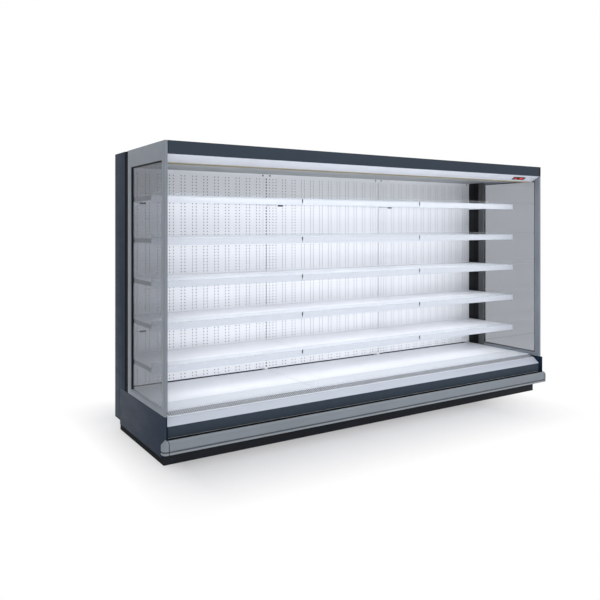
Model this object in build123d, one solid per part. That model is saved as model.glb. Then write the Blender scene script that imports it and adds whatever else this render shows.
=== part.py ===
from build123d import *
import math
import os

# Open multideck display fridge, three bays long, remote refrigeration.
# Millimetres. +X runs along the cabinet, the shopper stands on the -Y side, +Z is up.
# Depths are written from the front face of the end frames, heights from the floor.
# The exported parts are centred on the footprint, with the floor at Z = 0.

# ---------------------------------------------------------------- overall sizes
bay_count = 3
bay_length = 1250.0
end_wall = 20.0
height = 2160.0
depth = 1080.0

# ---------------------------------------------------------------- base and plinth
foot_pad_radius = 24.0
foot_pad_height = 8.0
foot_stem_radius = 8.0
base_tube = 50.0
base_tube_wall = 3.0
base_underside = 62.0
base_rear_inset = 70.0
plinth_front = 74.0
plinth_sheet = 2.0
plinth_floor_gap = 2.0

# ---------------------------------------------------------------- insulated shell
insulation = 60.0
roof_thickness = 50.0
tub_wall_inner = 70.0
tub_corner_rise = 28.0
tub_corner_run = 45.0

# ---------------------------------------------------------------- front, from ledge to bumper
front_face = 6.0
front_sheet = 3.0
ledge_low = 276.0
ledge_high = 318.0
ledge_back = 60.0
band_bottom = 201.0
grille_back = 132.0
grille_rise = 29.0
grille_sheet = 4.0
grille_slot_pitch = 16.0
grille_slot_width = 9.0
grille_slot_margin = 9.0
bumper_front = -50.0
bumper_bottom = 104.0
bumper_top = 200.0
bumper_groove_low = 125.0
bumper_groove_high = 134.0
bumper_groove_depth = 5.0
bumper_rounding = 14.0
cap_return = 15.0

# ---------------------------------------------------------------- end walls
end_panel_front = -20.0
end_panel_lip = 10.0
end_panel_bottom = 60.0
end_panel_top = 342.0
end_panel_rear_inset = 125.0
column_bottom = 90.0
column_depth = 250.0
trim_depth = 68.0
frame_header = 129.0
frame_bottom_rail = 33.0
frame_front_stile = 54.0
frame_rear_stile = 74.0
glass_recess = 13.0
glass_thickness = 6.0
gasket_width = 10.0
gasket_thickness = 10.5
trim_recess = 4.0

# ---------------------------------------------------------------- canopy
fascia_height = 90.0
fascia_sheet = 3.0
light_panel_back = 87.0
light_panel_drop = 47.0
light_panel_sheet = 3.0
ceiling_sheet = 3.0
outlet_depth = 93.0
outlet_height = 28.0
outlet_cell_pitch = 25.0
outlet_cell_rib = 5.0
outlet_rim = 6.0
lamp_depth = 50.0
lamp_height = 22.0
canopy_duct = 62.0
canopy_bracket_sheet = 4.0

# ---------------------------------------------------------------- back of the display space
upright_width = 30.0
upright_depth = 50.0
upright_sheet = 2.5
rear_duct = 124.0
slot_width = 14.0
slot_height = 12.0
slot_pitch = 25.0
slot_top_gap = 3.0
back_panel_sheet = 2.0
back_panel_bottom = 356.0
cable_slot_length = 53.0
cable_slot_height = 13.0
cable_slot_offset = 142.0
cable_slot_drop = 27.0
cable_slot_rows = 2
cable_slot_spacing = 1000.0
screw_radius = 4.5
screw_head = 2.5
screw_offset = 35.0
screw_drop = 12.0

# ---------------------------------------------------------------- shelves
shelf_rows = 5
shelf_pitch = 300.0
top_shelf_height = 1806.0
shelf_front = 318.0
shelf_sheet = 2.0
shelf_flange = 25.0
shelf_side_gap = 1.5
shelf_rear_gap = 6.0
bracket_sheet = 3.0
bracket_inset = 2.0
slot_side_gap = 1.0
bracket_front_height = 30.0
bracket_rear_height = 36.0
bracket_front_setback = 12.0
hook_length = 10.0
hook_height = 6.0
hook_drop = 2.0
hook_gap = 0.3
rail_height = 50.0
rail_thickness = 6.0
rail_above_shelf = 4.0
stopper_height = 30.0
stopper_sheet = 3.0
stopper_setback = 3.0

# ---------------------------------------------------------------- deck and plenum
deck_top = 348.0
deck_sheet = 3.0
deck_flange = 18.0
deck_front_gap = 2.0
deck_rear_gap = 3.0
deck_side_gap = 1.5
deck_rail_width = 20.0
deck_rail_height = 14.0
deck_post = 20.0
deck_stopper_height = 58.0
fan_plate_foot = 215.0
fan_plate_rise = 150.0
fan_plate_sheet = 3.0
fan_hole_radius = 82.0
fan_rotor_radius = 78.0
fan_hub_radius = 30.0
fan_blades = 5
fan_blade_sheet = 2.5
fan_blade_pitch = 32.0
fan_rotor_depth = 26.0
fan_shaft_radius = 4.0
fan_shaft_clearance = 0.05
fan_motor_radius = 34.0
fan_motor_length = 44.0
fan_arm_width = 6.0
fan_arm_count = 4
fan_arm_overlap = 9.0
fan_motor_gap = 3.0
fan_blade_chord = 39.0
coil_rear_gap = 96.0
coil_depth = 320.0
coil_height = 120.0
coil_floor_gap = 12.0
coil_end_inset = 150.0
coil_fin_pitch = 40.0
coil_fin = 3.0
coil_web = 6.0
coil_end_plate = 4.0
bend_radius = 22.0
bend_tube_radius = 6.0
bend_columns = 4
bend_levels = (0.3, 0.75)

# ---------------------------------------------------------------- services under the tub
drain_radius = 20.0
drain_bore_radius = 17.0
drain_flange_radius = 34.0
drain_flange = 4.0
drain_length = 42.0
drain_rear_inset = 220.0
suction_radius = 11.0
liquid_radius = 6.0
pipe_hole_clearance = 2.0
pipe_bend_radius = 30.0
pipe_run = 45.0
pipe_side_inset = 60.0
suction_level = 0.7
liquid_level = 0.3
pipe_end_height = 66.0
socket_wall = 1.5
socket_height = 30.0
socket_depth = 16.0
socket_clearance = 0.05
electric_box_length = 300.0
electric_box_depth = 180.0
electric_box_height = 46.0
electric_box_front = 240.0
electric_box_from_end = 500.0
gland_radius = 14.0
gland_bore_radius = 6.5
gland_length = 24.0
display_length = 160.0
display_width = 40.0
display_thickness = 4.0
display_from_end = 160.0
display_from_fascia = 30.0

# ---------------------------------------------------------------- derived places
inner_left = end_wall
inner_right = end_wall + bay_count * bay_length
length = inner_right + end_wall
base_top = base_underside + base_tube
tub_floor = base_top + insulation
roof_underside = height - roof_thickness
ceiling_top = roof_underside - canopy_duct
ceiling_underside = ceiling_top - ceiling_sheet
outlet_underside = ceiling_top - outlet_height
back_wall_front = depth - insulation
upright_face = back_wall_front - rear_duct
column_front = depth - column_depth
frame_back = column_front - trim_depth
end_panel_back = depth - end_panel_rear_inset
coil_front = upright_face - coil_rear_gap - coil_depth
glass_bottom = end_panel_top + frame_bottom_rail
glass_top = height - frame_header
glass_front = frame_front_stile
glass_back = frame_back - frame_rear_stile
fascia_bottom = height - fascia_height
outlet_back = light_panel_back + outlet_depth
ledge_slope = (ledge_high - ledge_low) / (ledge_back - front_face)
grille_low = ledge_high + front_sheet
grille_high = grille_low + grille_rise
grille_slope = grille_rise / (grille_back - ledge_back)
grille_tilt = math.atan(grille_slope)
grille_drop = grille_sheet / math.cos(grille_tilt)
deck_seat = deck_top - deck_flange
deck_rail_bottom = deck_seat - deck_rail_height
deck_back = upright_face - deck_rear_gap
shelf_back = upright_face - shelf_rear_gap
footprint_centre = (bumper_front + depth) / 2


def bay_lines():
    """Places along X where one bay ends and the next begins."""
    return [inner_left + index * bay_length for index in range(bay_count + 1)]


def shelf_heights():
    return [top_shelf_height - row * shelf_pitch for row in range(shelf_rows)]


def ledge_height(y):
    """Underside of the sloping ledge at a depth."""
    return ledge_low + (y - front_face) * ledge_slope


def grille_height(y):
    """Top of the sloping return air grille at a depth."""
    return grille_low + (y - ledge_back) * grille_slope


# ---------------------------------------------------------------- drawing helpers
def block(x0, x1, y0, y1, z0, z1):
    """A box between two corners."""
    middle = Pos((x0 + x1) / 2, (y0 + y1) / 2, (z0 + z1) / 2)
    return middle * Box(x1 - x0, y1 - y0, z1 - z0)


def rod(x, y, z, radius, rise):
    """An upright cylinder from a point."""
    return Pos(x, y, z + rise / 2) * Cylinder(radius, rise)


def outline(points):
    return make_face(Polyline(*points, close=True))


def along_x(face, x0, x1):
    """Extrude a section drawn in (depth, height) from x0 to x1."""
    return extrude(Plane.YZ.offset(x0) * face, x1 - x0)


def rectangle_wire(plane, u0, u1, v0, v1):
    corners = [(u0, v0), (u1, v0), (u1, v1), (u0, v1)]
    return Wire.make_polygon([plane.from_local_coords((u, v, 0)) for u, v in corners])


def pierced_sheet(plane, border, holes, thickness):
    """A flat sheet with rectangular holes, thickened along the plane's normal."""
    face = Face(rectangle_wire(plane, *border), [rectangle_wire(plane, *hole) for hole in holes])
    return extrude(face, thickness, dir=plane.z_dir)


def tube_along_x(x0, x1, y0, z0, size, wall):
    section = Pos(y0 + size / 2, z0 + size / 2) * (
        Rectangle(size, size) - Rectangle(size - 2 * wall, size - 2 * wall))
    return along_x(section, x0, x1)


def save(name, *solids):
    """Write one node, moved to the row's origin on the floor."""
    placed = [Pos(-length / 2, -footprint_centre, 0) * solid for solid in solids]
    shapes = [piece for group in placed for piece in group.solids()]
    export_step(shapes[0] if len(shapes) == 1 else Compound(children=shapes),
                f"parts/{name}.step")


# ---------------------------------------------------------------- base
def base_members():
    """Two long tubes under the tub with a cross tube under each bay line."""
    front = plinth_front + plinth_sheet
    rear = depth - base_rear_inset - plinth_sheet - base_tube
    x0 = inner_left + plinth_sheet
    x1 = inner_right - plinth_sheet
    members = [tube_along_x(x0, x1, y, base_underside, base_tube, base_tube_wall)
               for y in (front, rear)]
    hollow = base_tube - 2 * base_tube_wall
    for line in bay_lines():
        centre = min(max(line, x0 + base_tube / 2), x1 - base_tube / 2)
        y0, y1 = front + base_tube, rear
        outer = block(centre - base_tube / 2, centre + base_tube / 2, y0, y1, base_underside, base_top)
        inner = block(centre - hollow / 2, centre + hollow / 2, y0, y1,
                      base_underside + base_tube_wall, base_top - base_tube_wall)
        members.append(outer - inner)
    return members


def levelling_feet():
    front = plinth_front + plinth_sheet + base_tube / 2
    rear = depth - base_rear_inset - plinth_sheet - base_tube / 2
    edge = plinth_sheet + base_tube / 2
    feet = []
    for line in bay_lines():
        x = min(max(line, inner_left + edge), inner_right - edge)
        for y in (front, rear):
            pad = rod(x, y, 0, foot_pad_radius, foot_pad_height)
            stem = rod(x, y, foot_pad_height, foot_stem_radius, base_underside - foot_pad_height)
            feet.append(pad + stem)
    return feet


def plinth_panels():
    """Kick sheets at the front, the back and both ends."""
    rear = depth - base_rear_inset
    x0, x1 = inner_left, inner_right
    z0, z1 = plinth_floor_gap, base_top
    return [
        block(x0, x1, plinth_front, plinth_front + plinth_sheet, z0, z1),
        block(x0, x1, rear - plinth_sheet, rear, z0, z1),
        block(x0, x0 + plinth_sheet, plinth_front + plinth_sheet, rear - plinth_sheet, z0, z1),
        block(x1 - plinth_sheet, x1, plinth_front + plinth_sheet, rear - plinth_sheet, z0, z1),
    ]


# ---------------------------------------------------------------- insulated shell
def pipe_places():
    """Place, radius and level on the coil of the suction and the liquid line."""
    x = inner_right - coil_end_inset + coil_end_plate + pipe_run
    coil_back = coil_front + coil_depth
    return [(x, coil_back - pipe_side_inset, suction_radius, suction_level),
            (x, coil_front + pipe_side_inset, liquid_radius, liquid_level)]


def drain_place():
    return (inner_left + inner_right) / 2, depth - drain_rear_inset


def insulated_tub():
    """Bottom tray: floor, upstanding front wall and the seat of the grille."""
    skin = front_face + front_sheet
    section = outline([
        (skin, base_top), (back_wall_front, base_top), (back_wall_front, tub_floor),
        (tub_wall_inner + tub_corner_run, tub_floor), (tub_wall_inner, tub_floor + tub_corner_rise),
        (tub_wall_inner, grille_height(tub_wall_inner) - grille_drop),
        (ledge_back, grille_low - grille_drop), (ledge_back, ledge_height(ledge_back)),
        (skin, ledge_height(skin))])
    tub = along_x(section, inner_left, inner_right)
    for x, y, radius, level in pipe_places():
        tub -= rod(x, y, base_top, radius + pipe_hole_clearance, insulation)
    x, y = drain_place()
    return tub - rod(x, y, base_top, drain_bore_radius, insulation)


def back_wall():
    return block(inner_left, inner_right, back_wall_front, depth, base_top, roof_underside)


def roof_panel():
    return block(inner_left, inner_right, fascia_sheet, depth, roof_underside, height)


# ---------------------------------------------------------------- end walls
def mirrored(solid):
    """The same piece on the right-hand end."""
    return mirror(solid, about=Plane.YZ.offset(length / 2))


def end_panel():
    """Side panel, cut back under the bumper, with a thin edge that stands ahead of the band."""
    section = outline([
        (front_face, bumper_bottom), (plinth_front, bumper_bottom),
        (plinth_front, end_panel_bottom), (end_panel_back, end_panel_bottom),
        (end_panel_back, end_panel_top), (front_face, end_panel_top)])
    edge = block(0, end_panel_lip, end_panel_front, front_face, bumper_bottom, end_panel_top)
    return along_x(section, 0, end_wall) + edge


def end_column():
    section = outline([
        (column_front, end_panel_top), (end_panel_back, end_panel_top),
        (end_panel_back, column_bottom), (depth, column_bottom), (depth, height),
        (column_front, height)])
    return along_x(section, 0, end_wall)


def end_trim():
    return block(trim_recess, end_wall, frame_back, column_front, end_panel_top, height)


def glass_frame():
    """Two stiles and two rails round the side glass."""
    return [
        block(0, end_wall, 0, glass_front, glass_bottom, glass_top),
        block(0, end_wall, glass_back, frame_back, glass_bottom, glass_top),
        block(0, end_wall, 0, frame_back, glass_top, height),
        block(0, end_wall, 0, frame_back, end_panel_top, glass_bottom),
    ]


def end_glass():
    return block(glass_recess, glass_recess + glass_thickness, glass_front, glass_back,
                 glass_bottom, glass_top)


def glass_gasket():
    """Black seal that borders the pane on its outer face."""
    x1 = glass_recess
    outer = block(x1 - gasket_thickness, x1, glass_front, glass_back, glass_bottom, glass_top)
    window = block(x1 - gasket_thickness, x1, glass_front + gasket_width, glass_back - gasket_width,
                   glass_bottom + gasket_width, glass_top - gasket_width)
    return outer - window


# ---------------------------------------------------------------- front
def front_panel():
    return block(inner_left, inner_right, front_face, front_face + front_sheet,
                 band_bottom, ledge_height(front_face))


def front_ledge():
    section = outline([
        (front_face, ledge_low), (ledge_back, ledge_high),
        (ledge_back, ledge_high + front_sheet), (front_face, ledge_low + front_sheet)])
    return along_x(section, inner_left, inner_right)


def return_air_grille():
    """Sloping sheets with rows of slots that run front to back, one sheet for each bay."""
    slope_length = math.hypot(grille_back - ledge_back, grille_rise)
    seat = tub_wall_inner - ledge_back
    count = int(bay_length // grille_slot_pitch)
    spare = (bay_length - count * grille_slot_pitch) / 2
    half = grille_slot_width / 2
    sheets = []
    for line in bay_lines()[:-1]:
        corner = Plane(origin=(line, ledge_back, grille_low), x_dir=(1, 0, 0), z_dir=(0, 0, 1))
        under = corner.rotated((math.degrees(grille_tilt), 0, 0)).offset(-grille_sheet)
        centres = [spare + (index + 0.5) * grille_slot_pitch for index in range(count)]
        holes = [(centre - half, centre + half, seat + grille_slot_margin,
                  slope_length - 2 * grille_slot_margin) for centre in centres]
        sheets.append(pierced_sheet(under, (0, bay_length, 0, slope_length), holes, grille_sheet))
    return sheets


def bumper_section(back):
    """Bumper outline in (depth, height): lower lip, groove and a rounded upper edge."""
    inner = bumper_front + bumper_groove_depth
    lower = Polyline(
        (bumper_front, bumper_top - bumper_rounding), (bumper_front, bumper_groove_high),
        (inner, bumper_groove_high), (inner, bumper_groove_low), (bumper_front, bumper_groove_low),
        (bumper_front, bumper_bottom), (back, bumper_bottom), (back, bumper_top),
        (bumper_front + bumper_rounding, bumper_top))
    upper = RadiusArc((bumper_front, bumper_top - bumper_rounding),
                      (bumper_front + bumper_rounding, bumper_top), bumper_rounding)
    return make_face(lower + upper)


def bumper():
    return along_x(bumper_section(front_face + front_sheet), inner_left, inner_right)


def bumper_end_cap():
    """Moulded end: the bumper's section carried round the corner and a little way back."""
    section = bumper_section(end_panel_front)
    front = along_x(section, 0, inner_left)
    turn = revolve(Plane.YZ * section, Axis((0, end_panel_front, 0), (0, 0, 1)), -90)
    side = Plane(origin=(0, end_panel_front, 0), x_dir=(1, 0, 0), z_dir=(0, -1, 0))
    wing = extrude(side * Pos(-end_panel_front, 0) * section, -cap_return)
    return front + turn + wing


# ---------------------------------------------------------------- canopy
def canopy_fascia():
    return block(inner_left, inner_right, 0, fascia_sheet, fascia_bottom, height)


def light_panel_plane():
    """Plane on the visible face of the inclined panel, x along the cabinet."""
    run = light_panel_back - fascia_sheet
    tilt = math.degrees(math.atan2(-light_panel_drop, run))
    corner = Plane(origin=(inner_left, fascia_sheet, fascia_bottom), x_dir=(1, 0, 0), z_dir=(0, 0, 1))
    return corner.rotated((tilt, 0, 0)), math.hypot(run, light_panel_drop)


def canopy_light_panel():
    bottom = fascia_bottom - light_panel_drop
    section = outline([
        (fascia_sheet, fascia_bottom), (light_panel_back, bottom),
        (light_panel_back, bottom + light_panel_sheet),
        (fascia_sheet, fascia_bottom + light_panel_sheet)])
    return along_x(section, inner_left, inner_right)


def temperature_display():
    plane, slope = light_panel_plane()
    face = plane.offset(-display_thickness)
    x1 = inner_right - inner_left - display_from_end
    y0 = display_from_fascia
    return pierced_sheet(face, (x1 - display_length, x1, y0, y0 + display_width), [], display_thickness)


def air_outlet_honeycomb():
    """Cold air outlet under the canopy: one open-celled strip for each bay."""
    strips = []
    for line in bay_lines()[:-1]:
        plane = Plane(origin=(line, light_panel_back, outlet_underside))
        count = int((bay_length - 2 * outlet_rim) // outlet_cell_pitch)
        start = (bay_length - count * outlet_cell_pitch) / 2
        holes = []
        for index in range(count):
            x0 = start + index * outlet_cell_pitch + outlet_cell_rib / 2
            x1 = x0 + outlet_cell_pitch - outlet_cell_rib
            holes.append((x0, x1, outlet_rim, outlet_depth - outlet_rim))
        strips.append(pierced_sheet(plane, (0, bay_length, 0, outlet_depth), holes, outlet_height))
    return strips


def canopy_lamp():
    """Lamp profiles behind the air outlet, one for each bay."""
    top = ceiling_top
    return [block(line, line + bay_length, outlet_back, outlet_back + lamp_depth,
                  top - lamp_height, top) for line in bay_lines()[:-1]]


def ceiling_panel():
    return block(inner_left, inner_right, outlet_back + lamp_depth, upright_face,
                 ceiling_underside, ceiling_top)


def canopy_brackets():
    """Upright plates that hang the canopy from the roof at each bay line."""
    half = canopy_bracket_sheet / 2
    high = fascia_bottom + light_panel_sheet
    slope = light_panel_drop / (light_panel_back - fascia_sheet)
    meet = fascia_sheet + (high - ceiling_top) / slope
    section = outline([
        (fascia_sheet, high), (meet, ceiling_top), (upright_face, ceiling_top),
        (upright_face, roof_underside), (fascia_sheet, roof_underside)])
    places = [min(max(line, inner_left + half), inner_right - half) for line in bay_lines()]
    return [along_x(section, x - half, x + half) for x in places]


# ---------------------------------------------------------------- uprights and back panels
def upright_spans():
    """Left edge, right edge and slot centre of each upright."""
    spans = []
    for line in bay_lines():
        x0 = max(line - upright_width / 2, inner_left)
        x1 = min(line + upright_width / 2, inner_right)
        slot_low = max(line - slot_width / 2, inner_left + slot_side_gap)
        slot_high = min(line + slot_width / 2, inner_right - slot_side_gap)
        spans.append((x0, x1, slot_low, slot_high))
    return spans


def slot_tops():
    """Slot upper edges: a steady pitch that lines up with the top shelf's hooks."""
    first = top_shelf_height - hook_drop + slot_top_gap
    above = int((ceiling_underside - screw_drop - slot_height - first) // slot_pitch)
    below = int((first - slot_height - deck_top) // slot_pitch)
    return [first + step * slot_pitch for step in range(-below, above + 1)]


def uprights():
    posts = []
    for x0, x1, slot_low, slot_high in upright_spans():
        plane = Plane(origin=(0, upright_face, 0), x_dir=(1, 0, 0), z_dir=(0, -1, 0))
        holes = [(slot_low, slot_high, top - slot_height, top) for top in slot_tops()]
        border = (x0, x1, tub_floor, roof_underside)
        post = pierced_sheet(plane.offset(-upright_sheet), border, holes, upright_sheet)
        for side in (x0, x1 - upright_sheet):
            post += block(side, side + upright_sheet, upright_face + upright_sheet,
                          upright_face + upright_depth, tub_floor, roof_underside)
        posts.append(post)
    return posts


def back_panels():
    """Sheets between the uprights, each with cable slots near one upright."""
    spans = upright_spans()
    panels = []
    for left, right in zip(spans[:-1], spans[1:]):
        plane = Plane(origin=(0, upright_face, 0), x_dir=(1, 0, 0), z_dir=(0, -1, 0))
        x = left[1] + cable_slot_offset - (upright_width + cable_slot_length) / 2
        holes = []
        for row in range(cable_slot_rows):
            z = top_shelf_height - cable_slot_drop - row * cable_slot_spacing
            holes.append((x, x + cable_slot_length, z - cable_slot_height, z))
        border = (left[1], right[0], back_panel_bottom, ceiling_top)
        panels.append(pierced_sheet(plane.offset(-back_panel_sheet), border, holes, back_panel_sheet))
    return panels


def panel_screws():
    """Pan-head screws at the top corners of the back panels."""
    heads = []
    for left, right in zip(upright_spans()[:-1], upright_spans()[1:]):
        x0 = left[1] - upright_width / 2 + screw_offset
        x1 = right[0] + upright_width / 2 - screw_offset
        z = ceiling_underside - screw_drop
        for x in (x0, x1):
            heads.append(Pos(x, upright_face - screw_head / 2, z) * Rot(90, 0, 0)
                         * Cylinder(screw_radius, screw_head))
    return heads


# ---------------------------------------------------------------- shelves
def shelf(line, top):
    """One shelf: folded pan, two hooked brackets, ticket rail and clear front stopper."""
    x0 = line + shelf_side_gap
    x1 = line + bay_length - shelf_side_gap
    pan = along_x(outline([
        (shelf_front, top), (shelf_back, top), (shelf_back, top - shelf_flange),
        (shelf_back - shelf_sheet, top - shelf_flange), (shelf_back - shelf_sheet, top - shelf_sheet),
        (shelf_front + shelf_sheet, top - shelf_sheet), (shelf_front + shelf_sheet, top - shelf_flange),
        (shelf_front, top - shelf_flange)]), x0, x1)
    rail = block(x0, x1, shelf_front - rail_thickness, shelf_front,
                 top + rail_above_shelf - rail_height, top + rail_above_shelf)
    y0 = shelf_front + stopper_setback
    stopper = block(x0, x1, y0, y0 + stopper_sheet, top, top + stopper_height)
    section = bracket_section(top)
    edges = (x0 + bracket_inset, x1 - bracket_inset - bracket_sheet)
    brackets = [along_x(section, x, x + bracket_sheet) for x in edges]
    return [pan, rail, stopper] + brackets


def bracket_section(top):
    """Bracket plate under the pan, notched round its flanges, with two hooks at the back."""
    z = top - shelf_sheet
    y0 = shelf_front + bracket_front_setback
    y1 = upright_face - hook_gap
    notch = top - shelf_flange - hook_gap
    hook_top = top - hook_drop
    low_hook_top = hook_top - slot_pitch
    tip = upright_face + hook_length
    return outline([
        (y0, z), (shelf_back - shelf_sheet - hook_gap, z), (shelf_back - shelf_sheet - hook_gap, notch),
        (shelf_back + hook_gap, notch), (shelf_back + hook_gap, hook_top), (tip, hook_top),
        (tip, hook_top - hook_height), (y1, hook_top - hook_height), (y1, low_hook_top),
        (tip, low_hook_top), (tip, low_hook_top - hook_height), (y1, low_hook_top - hook_height),
        (y1, top - bracket_rear_height), (y0, top - bracket_front_height)])


# ---------------------------------------------------------------- deck and plenum
def deck_pan(line):
    """Removable folded tray that covers the plenum of one bay."""
    x0 = line + deck_side_gap
    x1 = line + bay_length - deck_side_gap
    y0 = grille_back + deck_front_gap
    return block(x0, x1, y0, deck_back, deck_seat, deck_top) - block(
        x0 + deck_sheet, x1 - deck_sheet, y0 + deck_sheet, deck_back - deck_sheet,
        deck_seat, deck_top - deck_sheet)


def deck_supports():
    """Long rails on posts that carry the trays and the back edge of the grille."""
    front = grille_back - deck_rail_width / 2
    rear = deck_back - deck_rail_width
    front_rail = along_x(outline([
        (front, deck_rail_bottom), (front + deck_rail_width, deck_rail_bottom),
        (front + deck_rail_width, deck_seat), (grille_back, deck_seat),
        (grille_back, grille_high - grille_drop), (front, grille_height(front) - grille_drop)]),
        inner_left, inner_right)
    rear_rail = block(inner_left, inner_right, rear, deck_back, deck_rail_bottom, deck_seat)
    posts = []
    for line in bay_lines():
        x = min(max(line, inner_left + deck_post / 2), inner_right - deck_post / 2)
        for y in (front, rear):
            posts.append(block(x - deck_post / 2, x + deck_post / 2, y, y + deck_post,
                               tub_floor, deck_rail_bottom))
    return [front_rail, rear_rail] + posts


def deck_stopper():
    """Clear upstand along the front of the deck, one pane for each bay."""
    y1 = grille_back
    z0 = grille_height(y1 - stopper_sheet)
    return [along_x(outline([
        (y1 - stopper_sheet, z0), (y1, grille_height(y1)),
        (y1, z0 + deck_stopper_height), (y1 - stopper_sheet, z0 + deck_stopper_height)]),
        line + deck_side_gap, line + bay_length - deck_side_gap) for line in bay_lines()[:-1]]


def fan_plane(line):
    """Plane at the middle of a fan hole, normal along the air flow."""
    y = fan_plate_foot + fan_plate_rise / 2 + fan_plate_sheet / 2
    z = tub_floor + fan_plate_rise / 2
    return Plane(origin=(line + bay_length / 2, y, z), x_dir=(1, 0, 0), z_dir=(0, 1, -1))


def fan_plate():
    """Inclined partition between the return air and the coil, with a hole for each fan."""
    y, z = fan_plate_foot, tub_floor
    plate = along_x(outline([
        (y, z), (y + fan_plate_sheet, z),
        (y + fan_plate_sheet + fan_plate_rise, z + fan_plate_rise),
        (y + fan_plate_rise, z + fan_plate_rise)]), inner_left, inner_right)
    for line in bay_lines()[:-1]:
        plate -= fan_plane(line) * Cylinder(fan_hole_radius, 4 * fan_plate_sheet)
    return plate


def fan_motor(line):
    """Motor, shaft and the arms that carry it in front of the hole."""
    place = fan_plane(line)
    face = fan_plate_sheet * math.sqrt(0.5) / 2
    gap = fan_rotor_depth / 2 + fan_motor_gap
    shaft_length = fan_rotor_depth + fan_motor_gap
    arm_low = -gap - fan_arm_width
    motor = Pos(0, 0, -gap - fan_motor_length / 2) * Cylinder(fan_motor_radius, fan_motor_length)
    shaft = Pos(0, 0, -gap + shaft_length / 2) * Cylinder(fan_shaft_radius, shaft_length)
    body = motor + shaft
    reach = fan_hole_radius + fan_arm_overlap
    for index in range(fan_arm_count):
        turn = Rot(0, 0, 360 / fan_arm_count * (index + 0.5))
        arm = Pos(reach / 2, 0, (arm_low - gap) / 2) * Box(reach, fan_arm_width, fan_arm_width)
        leg = Pos(reach - fan_arm_width / 2, 0, (arm_low - face) / 2) * Box(
            fan_arm_width, fan_arm_width, -face - arm_low)
        body += turn * (arm + leg)
    return place * body


def fan_rotor(line):
    """Hub with pitched blades, bored for the motor shaft."""
    place = fan_plane(line)
    rotor = Cylinder(fan_hub_radius, fan_rotor_depth)
    for index in range(fan_blades):
        blade = Rot(fan_blade_pitch, 0, 0) * Box(fan_rotor_radius, fan_blade_chord, fan_blade_sheet)
        blade = Pos((fan_rotor_radius + fan_hub_radius) / 2, 0, 0) * blade
        rotor += Rot(0, 0, 360 / fan_blades * index) * blade
    rotor = rotor & Cylinder(fan_rotor_radius, fan_rotor_depth)
    return place * (rotor - Cylinder(fan_shaft_radius + fan_shaft_clearance, fan_rotor_depth))


def evaporator():
    """Finned coil between two end plates, with return bends at the left end."""
    x0 = inner_left + coil_end_inset
    x1 = inner_right - coil_end_inset
    z0 = tub_floor + coil_floor_gap
    z1 = z0 + coil_height
    count = int((x1 - x0) // coil_fin_pitch)
    pitch = (x1 - x0) / count
    web = z0 + coil_height / 2
    points = [(x0, web), (x0, web + coil_web)]
    for index in range(count):
        x = x0 + (index + 0.5) * pitch - coil_fin / 2
        points += [(x, web + coil_web), (x, z1), (x + coil_fin, z1), (x + coil_fin, web + coil_web)]
    points += [(x1, web + coil_web), (x1, web)]
    for index in reversed(range(count)):
        x = x0 + (index + 0.5) * pitch - coil_fin / 2
        points += [(x + coil_fin, web), (x + coil_fin, z0), (x, z0), (x, web)]
    plane = Plane(origin=(0, coil_front, 0), x_dir=(1, 0, 0), z_dir=(0, -1, 0))
    core = extrude(plane * outline(points), -coil_depth)
    plates = [block(x - coil_end_plate, x, coil_front, coil_front + coil_depth, tub_floor, z1)
              for x in (x0, x1 + coil_end_plate)]
    return [core] + plates + return_bends(x0 - coil_end_plate, z0)


def return_bends(x, z0):
    """Half-ring tube ends on the outside of the left end plate."""
    bends = []
    for index in range(bend_columns):
        y = coil_front + coil_depth * (index + 0.5) / bend_columns
        for z in [z0 + coil_height * level for level in bend_levels]:
            ring = Torus(bend_radius, bend_tube_radius)
            half = ring & block(-2 * bend_radius, 0, -2 * bend_radius, 2 * bend_radius,
                                -bend_radius, bend_radius)
            bends.append(Pos(x, y, z) * half)
    return bends


# ---------------------------------------------------------------- services
def drain_pipe():
    """Flanged drain outlet under the tub."""
    x, y = drain_place()
    flange = rod(x, y, base_top - drain_flange, drain_flange_radius, drain_flange)
    spigot = rod(x, y, base_top - drain_length, drain_radius, drain_length)
    return flange + spigot - rod(x, y, base_top - drain_length, drain_bore_radius, drain_length)


def refrigerant_lines():
    """Suction and liquid lines from the coil's right end, down to sockets below the tub."""
    start = inner_right - coil_end_inset + coil_end_plate
    lines = []
    for x, y, radius, level in pipe_places():
        z = tub_floor + coil_floor_gap + coil_height * level
        path = FilletPolyline((start, y, z), (x, y, z), (x, y, pipe_end_height + socket_depth),
                              radius=pipe_bend_radius)
        circle = Plane(origin=(start, y, z), z_dir=(1, 0, 0)) * Circle(radius)
        socket = rod(x, y, pipe_end_height, radius + socket_wall, socket_height)
        socket -= rod(x, y, pipe_end_height, radius + socket_clearance, socket_depth)
        lines.append(sweep(circle, path) + socket)
    return lines


def electric_box_corner():
    return inner_right - electric_box_from_end - electric_box_length, electric_box_front


def electrical_box():
    """Terminal box under the tub with a bored cable gland on its back."""
    x, y = electric_box_corner()
    body = block(x, x + electric_box_length, y, y + electric_box_depth,
                 base_top - electric_box_height, base_top)
    centre = Pos(x + electric_box_length / 2, y + electric_box_depth + gland_length / 2,
                 base_top - electric_box_height / 2) * Rot(90, 0, 0)
    gland = centre * (Cylinder(gland_radius, gland_length) - Cylinder(gland_bore_radius, gland_length))
    return [body, gland]


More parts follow.
